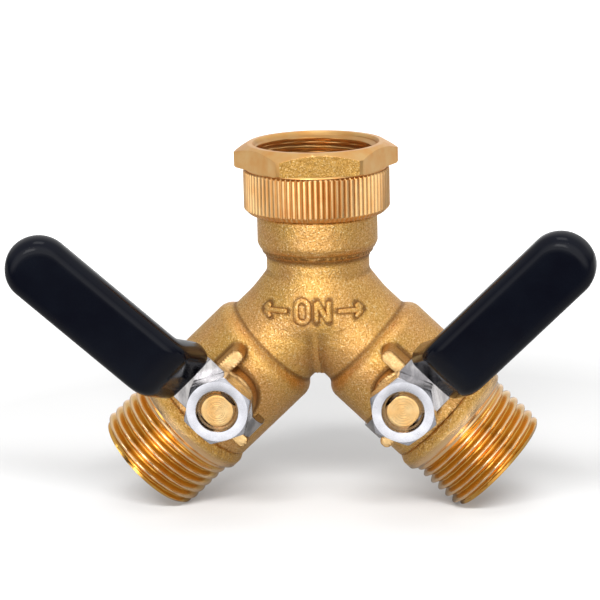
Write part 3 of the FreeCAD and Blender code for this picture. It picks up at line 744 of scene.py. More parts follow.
def sleeve_shell(side):
    """Dipped grip: an outside that swells from a thin lip, and an inside that follows the strip."""
    outer_line = lever_line(SLEEVE_BEND_R)
    inner_line = lever_line(LEVER_BEND_R)
    start = length_at(outer_line, SLEEVE_START)
    last = length_at(outer_line, TIP_CENTRE)
    in_lip = np.linspace(0, LIP_LENGTH, LIP_ROWS) ** 2 / LIP_LENGTH
    beyond = LIP_LENGTH + np.linspace(0, 1, SLEEVE_ROWS)[1:] * (last - start - LIP_LENGTH)
    past_lip = np.concatenate([in_lip, beyond])
    grown = np.sqrt(1 - (1 - np.clip(past_lip / LIP_LENGTH, 0, 1)) ** 2)
    width = PLATE_HALF_WIDTH + LIP_WALL + (SLEEVE_HALF_WIDTH - PLATE_HALF_WIDTH - LIP_WALL) * grown
    thick = PLATE_T / 2 + LIP_WALL + (SLEEVE_WALL - LIP_WALL) * grown
    outside = grip_rows(outer_line, start + past_lip, width, thick, SLEEVE_ROUND, SLEEVE_CROWN)
    inner_start = length_at(inner_line, SLEEVE_START)
    inner_last = length_at(inner_line, TIP_CENTRE)
    stations = np.linspace(inner_start, inner_last, INSIDE_ROWS)
    half_width = np.full(INSIDE_ROWS, PLATE_HALF_WIDTH + FIT_GAP)
    half_height = np.full(INSIDE_ROWS, PLATE_T / 2 + FIT_GAP)
    inside = grip_rows(inner_line, stations, half_width, half_height, INSIDE_EDGE, 0)
    rows = np.concatenate([inside[::-1], outside])
    return valve_points(rows.reshape(-1, 3), side), grid_faces(len(rows), rows.shape[1], False)


def stem_shell(side):
    """Turned stem: a radius along its axis, cut back to two flats where the lever and the nut sit."""
    flange_low, flange_high = STEM_FLANGE
    groove_r = STEM_R - RING_GROOVE
    outline = [(0, flange_low), (STEM_FLANGE_R, flange_low), (STEM_FLANGE_R, flange_high)]
    outline += [(STEM_R, flange_high)]
    for height in RING_HEIGHTS:
        low, high = height - RING_HALF_GROOVE, height + RING_HALF_GROOVE
        outline += [(STEM_R, low), (groove_r, low), (groove_r, high), (STEM_R, high)]
    outline += [(STEM_R, FLATS_START), (STEM_R, FLATS_START + FLATS_STEP), (STEM_R, STEM_END - STEM_EDGE)]
    outline += [(STEM_R - STEM_EDGE, STEM_END), (0, STEM_END)]
    outline = rounded(outline, STEM_ROUND)
    inward = np.linspace(1, 0, STEM_END_ROWS)[1:-1, None]
    end_face = inward * (outline[-2] - outline[-1]) + outline[-1]
    outline = np.concatenate([outline[:-1], end_face, outline[-1:]])
    radius, height, angle = spun(outline, STEM_COLUMNS)
    flat_radius = STEM_FLATS / 2 / np.maximum(np.abs(np.sin(angle)), 1e-6)
    radius = np.where(height > FLATS_START + FLATS_EDGE, np.minimum(radius, flat_radius), radius)
    points = valve_points(turned(radius, height, angle), side)
    return points, grid_faces(len(outline), STEM_COLUMNS, False)


def tang_shell(side):
    """Driving tang: a bar of oblong section, its corners rounded as a power curve, along the stem's axis."""
    angle = np.linspace(0, 2 * np.pi, TANG_COLUMNS, endpoint=False)
    size = (np.abs(np.cos(angle)) ** TANG_POWER + np.abs(np.sin(angle)) ** TANG_POWER) ** (-1 / TANG_POWER)
    height = np.array(TANG_HEIGHTS) * (TANG_TOP - TANG_BOTTOM) + TANG_BOTTOM
    share = np.array(TANG_SHARES)[:, None]
    x = share * TANG_WIDTH / 2 * size * np.cos(angle)
    y = share * TANG_LENGTH / 2 * size * np.sin(angle)
    points = np.stack([x, y, np.repeat(height[:, None], len(angle), 1)], -1)
    return valve_points(points.reshape(-1, 3), side), grid_faces(len(height), len(angle), False)


# Body: the zero surface of a distance function

def soft_min(a, b, width):
    """The smaller of two distances, blended by a parabola where they differ by less than a width."""
    share = np.clip(0.5 + 0.5 * (b - a) / width, 0, 1)
    return b + (a - b) * share - width * share * (1 - share)


def soft_max(a, b, width):
    """The larger of two distances, blended by a parabola where they differ by less than a width."""
    return -soft_min(-a, -b, width)


def bar(across, along, radius, low, high):
    """Distance to a round bar from distances across and along its axis."""
    return np.maximum(across - radius, np.maximum(low - along, along - high))


def slab(x, y, x0, x1, y0, y1, corner):
    """Distance to an upright rectangle with round corners."""
    qx = np.abs(x - (x0 + x1) / 2) - (x1 - x0) / 2 + corner
    qy = np.abs(y - (y0 + y1) / 2) - (y1 - y0) / 2 + corner
    return np.hypot(np.maximum(qx, 0), np.maximum(qy, 0)) + np.minimum(np.maximum(qx, qy), 0) - corner


def branch_distances(points):
    """Distances to the right arm with its chamber, to its pad and stops, and to the hollow inside."""
    out = OUT["right"]
    place = points - JUNCTION
    along = place @ out
    across = np.linalg.norm(place - along[:, None] * out, axis=1)
    arm = np.linalg.norm(place - np.maximum(along, 0)[:, None] * out, axis=1) - ARM_R
    foot_r = (CHAMBER_FOOT ** 2 + CHAMBER_ROUND ** 2) / (2 * CHAMBER_FOOT)
    q_across = across - (CHAMBER_R - foot_r)
    q_along = CHAMBER_START + CHAMBER_ROUND - along
    chamber = np.hypot(np.maximum(q_across, 0), np.maximum(q_along, 0)) - foot_r
    chamber = chamber + np.minimum(np.maximum(q_across, q_along), 0)
    outside = soft_min(arm, chamber, CREASE_WIDTH)
    side_way = place @ np.cross(-out, FRONT)
    back_way = STEM_PLACE - along
    stem_way = np.hypot(side_way, back_way)
    front = -points[:, 1]
    pad = stem_way - PAD_R
    open_finger = slab(
        side_way, back_way, FINGER_NEAR, FINGER_NEAR + FINGER_WIDTH, -FINGER_INSIDE, FINGER_REACH,
        FINGER_ROUND)
    closed_finger = slab(
        side_way, back_way, -CLOSED_FINGER_REACH, FINGER_INSIDE, -CLOSED_FINGER_NEAR - CLOSED_FINGER_WIDTH,
        -CLOSED_FINGER_NEAR, CLOSED_FINGER_ROUND)
    raised = soft_min(np.minimum(pad, open_finger), closed_finger, FINGER_BLEND)
    raised = soft_max(raised, front - PAD_TOP, PAD_EDGE)
    raised = np.maximum(raised, CAVITY_R - front)
    outside = soft_min(outside, raised, PAD_FOOT)
    outside = soft_max(outside, along - BODY_END, SEAM_EDGE)
    hollow = np.minimum.reduce([
        bar(across, along, WATERWAY_R, 0, SEAT_FLOOR + CUT_OVERLAP),
        bar(across, along, SEAT_R, SEAT_FLOOR, CAVITY_FLOOR + CUT_OVERLAP),
        bar(across, along, CAVITY_R, CAVITY_FLOOR, SPIGOT_FLOOR + CUT_OVERLAP),
        bar(across, along, SPIGOT_R, SPIGOT_FLOOR, BODY_END + CUT_PAST),
        bar(stem_way, front, STEM_BORE_R, 0, PAD_TOP + CUT_PAST),
        bar(stem_way, front, STEM_POCKET_R, 0, STEM_POCKET_TOP)])
    return outside, hollow


def body_distance(points):
    """Distance to the casting: neck, two arms and chambers blended together, less the bores."""
    radius = np.hypot(points[:, 0], points[:, 1])
    height = points[:, 2] - JUNCTION[2]
    levels = [WAIST, NECK_STEP, NECK_SHOULDER]
    sizes = [WAIST_R, NECK_STEP_R, NECK_R]
    profiles = [np.interp(height + shift, levels, sizes) for shift in PROFILE_SHIFTS]
    profile = sum(profiles) / len(profiles)
    for crease, depth in CREASES:
        profile = profile - depth * np.exp(-((height - crease) / CREASE_REACH) ** 2)
    neck = soft_max(radius - profile, points[:, 2] - BODY_TOP, NECK_EDGE)
    neck = np.maximum(neck, -height)
    right, right_hollow = branch_distances(points)
    left, left_hollow = branch_distances(points * MIRROR["left"])
    depth = ramp(-height, WEB_TOP, WEB_FOOT)
    arms = soft_min(right, left, VALLEY_WIDTH + (CROTCH_WIDTH - VALLEY_WIDTH) * depth)
    web_top = arms - WEB_HEIGHT * depth + WEB_EDGE * (1 - depth)
    web = np.maximum(np.abs(points[:, 0]) - WEB_HALF_WIDTH, web_top)
    outside = soft_min(soft_min(arms, web, WEB_EDGE), neck, NECK_WIDTH)
    neck_hollow = np.minimum(
        bar(radius, points[:, 2], NECK_BORE_R, -NECK_BORE_DEPTH, BODY_TOP + CUT_PAST),
        bar(radius, points[:, 2], WATERWAY_R, JUNCTION[2], BODY_TOP))
    return np.maximum(outside, -np.minimum.reduce([right_hollow, left_hollow, neck_hollow]))


def slope(distance, points):
    """Direction in which a distance grows fastest, from its differences over a short reach."""
    steps = np.eye(3) * SLOPE_REACH
    change = np.stack([distance(points + step) - distance(points - step) for step in steps], -1)
    return change / np.maximum(np.linalg.norm(change, axis=1, keepdims=True), 1e-12)


def crossing(distance, start, end):
    """Points where a distance changes sign between each start and end, by halving again and again."""
    inside_start = distance(start) < 0
    for _ in range(HALVINGS):
        middle = (start + end) / 2
        same = (distance(middle) < 0) == inside_start
        start = np.where(same[:, None], middle, start)
        end = np.where(same[:, None], end, middle)
    return (start + end) / 2


def level_surface(distance, low, high, step):
    """Quads of a distance function's zero surface, by dual contouring.

    A box of cells is laid over the shape. Each cell that the surface passes through gets one point, the
    best fit to the planes that touch the surface where it crosses the cell's edges, and each crossed
    edge gets one quad between the four cells around it.
    """
    counts = np.ceil((high - low) / step).astype(int) + 1
    lines = [low[k] + step * np.arange(counts[k]) for k in range(3)]
    slices = []
    for x in lines[0]:
        y, z = np.meshgrid(lines[1], lines[2], indexing="ij")
        slices.append(distance(np.stack([np.full(y.size, x), y.ravel(), z.ravel()], -1)) < 0)
    inside = np.array(slices).reshape(counts)
    steps = np.eye(3, dtype=int)
    corners, places, normals = [], [], []
    for axis in range(3):
        before = np.take(inside, range(counts[axis] - 1), axis)
        after = np.take(inside, range(1, counts[axis]), axis)
        node = np.argwhere(before != after)
        start = low + step * node
        place = crossing(distance, start, start + step * steps[axis])
        b, c = steps[(axis + 1) % 3], steps[(axis + 2) % 3]
        cells = np.stack([node - b - c, node - c, node, node - b], 1)
        leaves = before[tuple(node.T)]
        cells[~leaves] = cells[~leaves][:, ::-1]
        corners.append(cells)
        places.append(place)
        normals.append(slope(distance, place))
    corners, places, normals = (np.concatenate(group) for group in (corners, places, normals))
    flat = np.ravel_multi_index(corners.reshape(-1, 3).T, counts)
    used, number = np.unique(flat, return_inverse=True)
    number = number.ravel()
    place = np.repeat(places, 4, 0)
    normal = np.repeat(normals, 4, 0)

    def summed(values):
        return np.stack([np.bincount(number, column, len(used)) for column in values.T], -1)

    count = np.bincount(number, minlength=len(used))[:, None]
    middle = summed(place) / count
    spread = summed((normal[:, :, None] * normal[:, None, :]).reshape(-1, 9)).reshape(-1, 3, 3)
    offset = ((place - middle[number]) * normal).sum(1, keepdims=True)
    pull = summed(normal * offset)
    fit = np.linalg.solve(spread + PLANE_PULL * np.eye(3), pull[..., None])[..., 0]
    cell_low = low + step * np.stack(np.unravel_index(used, counts), -1)
    points = np.clip(middle + fit, cell_low, cell_low + step)
    return points, number.reshape(-1, 4)


def body_shell():
    """The casting's surface."""
    low, high = (spot(corner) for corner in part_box("y_body"))
    return level_surface(body_distance, low - BODY_MARGIN, high + BODY_MARGIN, BODY_STEP)


# Raised lettering on the body's front

def skin_height(x, z):
    """Where the body's front lies at x and z: the first crossing of its distance from the front."""
    start = np.stack([x, np.full(x.shape, -PAD_TOP), z], -1)
    end = np.stack([x, np.full(x.shape, -WATERWAY_R - 1), z], -1)
    return crossing(body_distance, start, end)[:, 1]


def stroke_shell(path, closed, half_width):
    """One raised stroke: a round-topped profile carried along a path of x and z on the body's front.

    The profile runs across the path and stands out of the skin; at the ends of an open path its size
    falls to nothing as a quarter circle.
    """
    if closed:
        ahead = np.roll(path, -1, 0) - np.roll(path, 1, 0)
        share = np.ones(len(path))
    else:
        ahead = np.gradient(path, axis=0)
        travelled = np.concatenate([[0], np.cumsum(np.linalg.norm(np.diff(path, axis=0), axis=1))])
        from_end = np.minimum(travelled, travelled[-1] - travelled) / half_width
        share = np.sqrt(1 - (1 - np.clip(from_end, 0, 1)) ** 2)
    ahead = ahead / np.linalg.norm(ahead, axis=1, keepdims=True)
    normal = np.stack([ahead[:, 1], -ahead[:, 0]], -1)
    angle = np.linspace(0, 2 * np.pi, STROKE_POINTS, endpoint=False)
    side_share = np.sign(np.cos(angle)) * np.abs(np.cos(angle)) ** STROKE_POWER
    across = half_width * share[:, None] * side_share
    raised = np.where(np.sin(angle) > 0, LETTER_RAISE * np.abs(np.sin(angle)) ** STROKE_POWER, -LETTER_SINK)
    above = share[:, None] * raised
    x = path[:, :1] + normal[:, :1] * across
    z = path[:, 1:] + normal[:, 1:] * across
    y = skin_height(x.ravel(), z.ravel()).reshape(x.shape) - above
    return np.stack([x, y, z], -1).reshape(-1, 3), grid_faces(len(path), len(angle), closed)


def line_path(start, end):
    """Evenly spaced points from one (x, z) place to another."""
    start, end = np.array(start, float), np.array(end, float)
    count = max(int(np.linalg.norm(end - start) / STROKE_STEP), STROKE_LEAST_POINTS)
    return start + np.linspace(0, 1, count)[:, None] * (end - start)


def lettering_strokes():
    """ON between two arrows, as (path, closed, half width): an oval, straight strokes, shafts and heads."""
    low = JUNCTION[2] + LETTER_BASE + LETTER_HALF_STROKE
    high = low + LETTER_HEIGHT - 2 * LETTER_HALF_STROKE
    inner = LETTER_WIDTH / 2 - LETTER_HALF_STROKE
    centre = -LETTER_GAP / 2 - LETTER_WIDTH / 2
    turn = np.linspace(0, 2 * np.pi, OVAL_POINTS, endpoint=False)
    straight = (high - low) / 2 - inner
    oval = np.stack([
        centre + inner * np.cos(turn),
        (low + high) / 2 + inner * np.sin(turn)
        + straight * np.clip(np.sin(turn) * OVAL_STRAIGHTEN, -1, 1)], -1)
    near = LETTER_GAP / 2 + LETTER_HALF_STROKE
    far = LETTER_GAP / 2 + LETTER_WIDTH - LETTER_HALF_STROKE
    upright = ((near, low), (near, high)), ((near, high), (far, low)), ((far, low), (far, high))
    strokes = [(oval, True, LETTER_HALF_STROKE)]
    strokes += [(line_path(start, end), False, LETTER_HALF_STROKE) for start, end in upright]
    middle = (low + high) / 2
    for way in (-1, 1):
        tip = way * (ARROW_START + ARROW_LENGTH)
        back = tip - way * ARROW_HEAD
        for start in ((way * ARROW_START, middle), (back, middle + ARROW_HEAD), (back, middle - ARROW_HEAD)):
            strokes.append((line_path(start, (tip, middle)), False, ARROW_HALF_STROKE))
    return [(path + (LETTER_CENTRE, 0), closed, half_width) for path, closed, half_width in strokes]


# Materials

def socket(group, name, kind, direction, value=None):
    """A named socket on a node group, with its starting value."""
    made = group.interface.new_socket(name=name, in_out=direction, socket_type=kind)
    if value is not None:
        made.default_value = value
    return made


class Wiring:
    """Adds nodes to a tree and joins them: a value that is a socket is linked, anything else is set."""

    def __init__(self, tree):
        self.tree = tree

    def add(self, kind, inputs=None, **settings):
        node = self.tree.nodes.new(kind)
        for name, value in settings.items():
            setattr(node, name, value)
        for name, value in (inputs or {}).items():
            self.put(node.inputs[name], value)
        return node

    def put(self, target, value):
        if isinstance(value, bpy.types.NodeSocket):
            self.tree.links.new(value, target)
        else:
            target.default_value = value

    def mark(self, name):
        return self.add("ShaderNodeAttribute", attribute_name=name).outputs["Fac"]

    def noise(self, vector, scale, detail=2.0, roughness=0.5):
        node = self.add("ShaderNodeTexNoise", {
            "Vector": vector, "Scale": scale, "Detail": detail, "Roughness": roughness})
        return node.outputs["Fac"]

    def span(self, value, low, high, to_low=0.0, to_high=1.0):
        node = self.add("ShaderNodeMapRange", {
            "Value": value, "From Min": low, "From Max": high, "To Min": to_low, "To Max": to_high})
        return node.outputs["Result"]

    def math(self, operation, a, b):
        return self.add("ShaderNodeMath", {0: a, 1: b}, operation=operation).outputs[0]

    def length(self, vector):
        return self.add("ShaderNodeVectorMath", {0: vector}, operation="LENGTH").outputs["Value"]

    def mix(self, share, *tones):
        node = self.add("ShaderNodeMix", {0: share}, data_type="RGBA")
        for place, tone in zip((6, 7), tones):
            self.put(node.inputs[place], (*tone, 1) if isinstance(tone, tuple) else tone)
        return node.outputs[2]

    def partly(self, share, level, tone, other):
        return self.mix(self.math("MULTIPLY", share, level), tone, other)

    def bump(self, height, strength, distance_mm, normal=None):
        inputs = {"Height": height, "Strength": strength, "Distance": distance_mm * MM}
        if normal is not None:
            inputs["Normal"] = normal
        return self.add("ShaderNodeBump", inputs).outputs["Normal"]

    def finish(self, shader, tone, rough, normal):
        for name, value in (("Base Color", tone), ("Roughness", rough), ("Normal", normal)):
            self.put(shader.inputs[name], value)


def cast_grain_group():
    """Sand-cast skin: fine grains, bright specks, slow patches of tone, and their height.

    Grain is a fine noise; Specks is its brightest share, where the tone gets a painted sparkle; Patch is a
    slow noise; Height adds the grain to a coarser swell.
    """
    group = bpy.data.node_groups.new("cast_grain", "ShaderNodeTree")
    socket(group, "Vector", "NodeSocketVector", "INPUT")
    socket(group, "Grain Scale", "NodeSocketFloat", "INPUT", 2900.0)
    for name in ("Grain", "Specks", "Patch", "Height"):
        socket(group, name, "NodeSocketFloat", "OUTPUT")
    wire = Wiring(group)
    given = wire.add("NodeGroupInput").outputs
    grain = wire.noise(given["Vector"], given["Grain Scale"], detail=3.0, roughness=0.65)
    coarse = wire.noise(given["Vector"], wire.math("MULTIPLY", given["Grain Scale"], 0.22))
    patch = wire.noise(given["Vector"], scale=110.0)
    wire.add("NodeGroupOutput", {
        "Grain": wire.span(grain, 0.3, 0.7), "Specks": wire.span(grain, 0.56, 0.72),
        "Patch": wire.span(patch, 0.35, 0.65),
        "Height": wire.math("ADD", grain, wire.math("MULTIPLY", coarse, 1.4))})
    return group


def turning_marks_group():
    """Tool marks of a lathe: a noise that depends only on the radius and the height along the Z axis."""
    group = bpy.data.node_groups.new("turning_marks", "ShaderNodeTree")
    socket(group, "Vector", "NodeSocketVector", "INPUT")
    socket(group, "Marks Scale", "NodeSocketFloat", "INPUT", 5000.0)
    for name in ("Marks", "Stain"):
        socket(group, name, "NodeSocketFloat", "OUTPUT")
    wire = Wiring(group)
    given = wire.add("NodeGroupInput").outputs
    parts = wire.add("ShaderNodeSeparateXYZ", {"Vector": given["Vector"]}).outputs
    flat = wire.add("ShaderNodeCombineXYZ", {"X": parts["X"], "Y": parts["Y"]}).outputs["Vector"]
    rings = wire.add("ShaderNodeCombineXYZ", {"X": wire.length(flat), "Y": parts["Z"]}).outputs["Vector"]
    wire.add("NodeGroupOutput", {
        "Marks": wire.noise(rings, given["Marks Scale"], roughness=0.6),
        "Stain": wire.noise(given["Vector"], scale=260.0, detail=3.0, roughness=0.55)})
    return group


CAST_GRAIN = cast_grain_group()
TURNING_MARKS = turning_marks_group()


def new_material(name, slot_colour, roughness, metallic):
    """A material with its wiring, its Principled shader and Object coordinates."""
    material = bpy.data.materials.new(name)
    material.use_nodes = True
    material.diffuse_color = (*slot_colour, 1)
    shader = material.node_tree.nodes["Principled BSDF"]
    shader.inputs["Base Color"].default_value = (*slot_colour, 1)
    shader.inputs["Roughness"].default_value = roughness
    shader.inputs["Metallic"].default_value = metallic
    wire = Wiring(material.node_tree)
    place = wire.add("ShaderNodeTexCoord").outputs["Object"]
    return material, wire, shader, place


def about_axis(wire, place, centre, axes):
    """Coordinates about an axis: the centre becomes the origin and the third direction becomes Z."""
    turn = Matrix(np.array(axes).T.tolist()).to_euler()
    node = wire.add("ShaderNodeMapping", {
        "Vector": place, "Location": tuple(np.array(centre) * MM), "Rotation": tuple(turn)},
        vector_type="TEXTURE")
    return node.outputs["Vector"]


def cast_tone(wire, skin, tone):
    """A casting's tone: dark between its grains, and bright on its specks, partly the grain's own tone and partly
    painted sparkle.
    """
    tone = wire.mix(wire.span(skin["Grain"], *GRAIN_SHADE), CAST_DARK, tone)
    # Painted sparkle on the specks, over the grain's own pale tone
    return wire.partly(skin["Specks"], SPECK_SHARE, tone, CAST_SPECK)


def cast_brass():
    """Sand-cast brass: golden tan with pinker patches and a grain whose specks carry painted sparkle, with painted
    shade in its hollows.
    """
    material, wire, shader, place = new_material("cast_brass", CAST_TONE, roughness=0.4, metallic=0.94)
    skin = wire.add("ShaderNodeGroup", {"Vector": place}, node_tree=CAST_GRAIN).outputs
    hollow = wire.mark("hollow")
    faced = wire.mark("faced")
    tone = cast_tone(wire, skin, wire.mix(skin["Patch"], CAST_TONE, CAST_PINK))
    tone = wire.partly(faced, FACED_SHARE, tone, FACED_TONE)
    # Painted shade in the hollows, the valley, round the letters and on the pads' walls
    tone = wire.partly(hollow, CAST_PAINTED_SHADE_SHARE, tone, CAST_PAINTED_SHADE)
    rough = wire.math("ADD", wire.span(skin["Grain"], 0, 1, 0.46, 0.26), wire.math("MULTIPLY", hollow, 0.15))
    height = wire.math("MULTIPLY", skin["Height"], wire.span(faced, 0, 1, 1.0, 0.3))
    wire.finish(shader, tone, rough, wire.bump(height, strength=0.8, distance_mm=0.18))
    return material


def machined_brass(name, centre, axes, tone=MACHINED_TONE, dull=0.2, marks=TURNED_MARKS, cast_skin=False):
    """Turned brass with tool marks about the piece's axis and faint warm stains.

    dull is its mean roughness. marks gives the marks' scale and their depth in millimetres. With
    cast_skin, the piece's marks say where it keeps a casting's skin, is worn bright or gets painted shade.
    """
    material, wire, shader, place = new_material(name, tone, roughness=dull, metallic=1.0)
    tool = wire.add("ShaderNodeGroup", {
        "Vector": about_axis(wire, place, centre, axes), "Marks Scale": marks[0]},
        node_tree=TURNING_MARKS).outputs
    warm = tuple(level * share for level, share in zip(tone, STAIN_SHARES))
    tone = wire.mix(wire.span(tool["Stain"], 0.35, 0.7), tone, warm)
    rough = wire.span(tool["Stain"], 0.3, 0.7, dull * 0.9, dull * 1.1)
    normal = wire.bump(tool["Marks"], strength=0.8, distance_mm=marks[1])
    if cast_skin:
        skin = wire.add("ShaderNodeGroup", {"Vector": place}, node_tree=CAST_GRAIN).outputs
        facet = wire.mark("cast_skin")
        tone = wire.mix(facet, tone, cast_tone(wire, skin, CAST_TONE))
        tone = wire.partly(wire.mark("worn"), WORN_SHARE, tone, WORN_TONE)
        # Painted shade in the knurl's and thread's grooves and inside the nut's mouth
        tone = wire.partly(wire.mark("hollow"), TURNED_PAINTED_SHADE_SHARE, tone, CAST_PAINTED_SHADE)
        rough = wire.math("ADD", rough, wire.math("MULTIPLY", facet, 0.18))
        height = wire.math("MULTIPLY", skin["Height"], facet)
        normal = wire.bump(height, strength=1.0, distance_mm=0.28, normal=normal)
    wire.finish(shader, tone, rough, normal)
    return material


def nut_steel():
    """Zinc-plated steel nut: pale satin with faint blotches and a fine tumbled grain."""
    material, wire, shader, place = new_material("nut_steel", STEEL_TONE, roughness=0.34, metallic=1.0)
    blotch = wire.noise(place, scale=420.0, detail=3.0, roughness=0.6)
    tumbled = wire.noise(place, scale=3800.0, roughness=0.6)
    wire.finish(shader, wire.mix(wire.span(blotch, 0.35, 0.7), STEEL_TONE, STEEL_SHADE),
                wire.span(blotch, 0.3, 0.7, 0.18, 0.3), wire.bump(tumbled, strength=0.12, distance_mm=0.03))
    return material


def plated_steel():
    """Bright plated lever strip: mirror plate over a pressed surface with waves and smudges across it."""
    material, wire, shader, place = new_material("plated_steel", PLATE_TONE, roughness=0.16, metallic=1.0)
    drawn = wire.add("ShaderNodeMapping", {"Vector": place, "Scale": (1.0, 1.0, 0.35)}).outputs["Vector"]
    smudge = wire.noise(drawn, scale=420.0, detail=3.0, roughness=0.6)
    wave = wire.noise(drawn, scale=200.0, detail=1.0, roughness=0.4)
    wire.finish(shader, wire.mix(wire.span(smudge, 0.38, 0.62), PLATE_TONE, PLATE_SHADE),
                wire.span(smudge, 0.3, 0.7, 0.1, 0.24), wire.bump(wave, strength=0.6, distance_mm=0.5))
    return material


def plated_ball():
    """Polished chrome-plated ball with hairline wear."""
    material, wire, shader, place = new_material("plated_ball", PLATE_TONE, roughness=0.07, metallic=1.0)
    wear = wire.noise(place, scale=900.0, detail=3.0, roughness=0.6)
    wire.put(shader.inputs["Roughness"], wire.span(wear, 0.4, 0.75, 0.05, 0.16))
    return material


def black_vinyl():
    """Glossy dipped vinyl: near black with a blue tinge and a faint orange-peel skin."""
    material, wire, shader, place = new_material("black_vinyl", VINYL_TONE, roughness=0.24, metallic=0.0)
    shader.inputs["Specular IOR Level"].default_value = 0.15
    cloud = wire.noise(place, scale=160.0)
    peel = wire.noise(place, scale=500.0, detail=1.0)
    wire.finish(shader, wire.mix(cloud, VINYL_TONE, VINYL_BLUE), wire.span(cloud, 0.3, 0.7, 0.1, 0.17),
                wire.bump(peel, strength=0.1, distance_mm=0.06))
    return material


def soft_seal(name, tone, other_tone, roughness):
    """Rubber or PTFE: a plain dull solid with a faint mottle."""
    material, wire, shader, place = new_material(name, tone, roughness, metallic=0.0)
    mottle = wire.noise(place, scale=900.0, detail=3.0, roughness=0.6)
    wire.finish(shader, wire.mix(mottle, tone, other_tone),
                wire.span(mottle, 0.3, 0.7, roughness - 0.06, roughness + 0.06),
                wire.bump(mottle, strength=0.15, distance_mm=0.05))
    return material


# The object

def read_all(items, name):
    """One vector for each of a mesh's points or faces."""
    values = np.empty(len(items) * 3)
    items.foreach_get(name, values)
    return values.reshape(-1, 3)


def set_mark(piece, name, values, domain="POINT"):
    """Keep a number for each point or face of a piece, under a name that its material reads."""
    mark = piece.data.attributes.new(name, "FLOAT", domain)
    mark.data.foreach_set("value", values.astype(np.float32))


def mark_nut(piece):
    """Mark the front and back facets' cast skin, the knurl's worn crests, and painted shade in the knurl's grooves
    and inside the mouth.
    """
    centre = read_all(piece.data.polygons, "center") / MM
    normal = read_all(piece.data.polygons, "normal")
    is_facet = (centre[:, 2] > NUT_TOP - HEX_HEIGHT) & (np.abs(normal[:, 1]) > FACET_FACING)
    is_facet &= np.hypot(centre[:, 0], centre[:, 1]) > HEX_FLATS / 2 - FACET_MARGIN
    points = read_all(piece.data.vertices, "co") / MM
    radius = np.hypot(points[:, 0], points[:, 1])
    depth = (KNURL_R - radius) / KNURL_DEPTH
    in_knurl = (depth < KNURL_REACH) & (points[:, 2] < NUT_TOP - HEX_HEIGHT - GROOVE_HEIGHT)
    in_knurl &= points[:, 2] > NUT_BOTTOM + KNURL_BEVEL
    depth = np.clip(depth, 0, 1)
    in_mouth = (radius < MOUTH_R - MOUTH_RIM) & (points[:, 2] > FEMALE_START)
    set_mark(piece, "cast_skin", is_facet, "FACE")
    # Painted shade in the knurl's grooves and inside the mouth
    set_mark(piece, "hollow", depth ** 2 * in_knurl + MOUTH_PAINTED_SHADE * in_mouth)
    set_mark(piece, "worn", KNURL_WORN * (1 - depth) * in_knurl)


def mark_outlet(piece, side):
    """Mark the collar's cast skin, the thread's worn crests, and painted shade in its grooves."""
    place = read_all(piece.data.vertices, "co") / MM - JUNCTION
    along = place @ OUT[side]
    across = np.linalg.norm(place - along[:, None] * OUT[side], axis=1)
    outside = across > MALE_ROOT_R - OUTSIDE_MARGIN
    is_turned = along > COLLAR_END - COLLAR_TURNED
    crest = ramp(across, *(MALE_CREST_R - drop for drop in CREST_WORN))
    depth = 1 - ramp(across, MALE_ROOT_R, MALE_CREST_R)
    set_mark(piece, "cast_skin", ~is_turned & outside)
    set_mark(piece, "worn", crest * is_turned)
    # Painted shade in the thread's grooves, deeper towards the root
    set_mark(piece, "hollow", GROOVE_PAINTED_SHADE * depth * outside * (along > COLLAR_END))


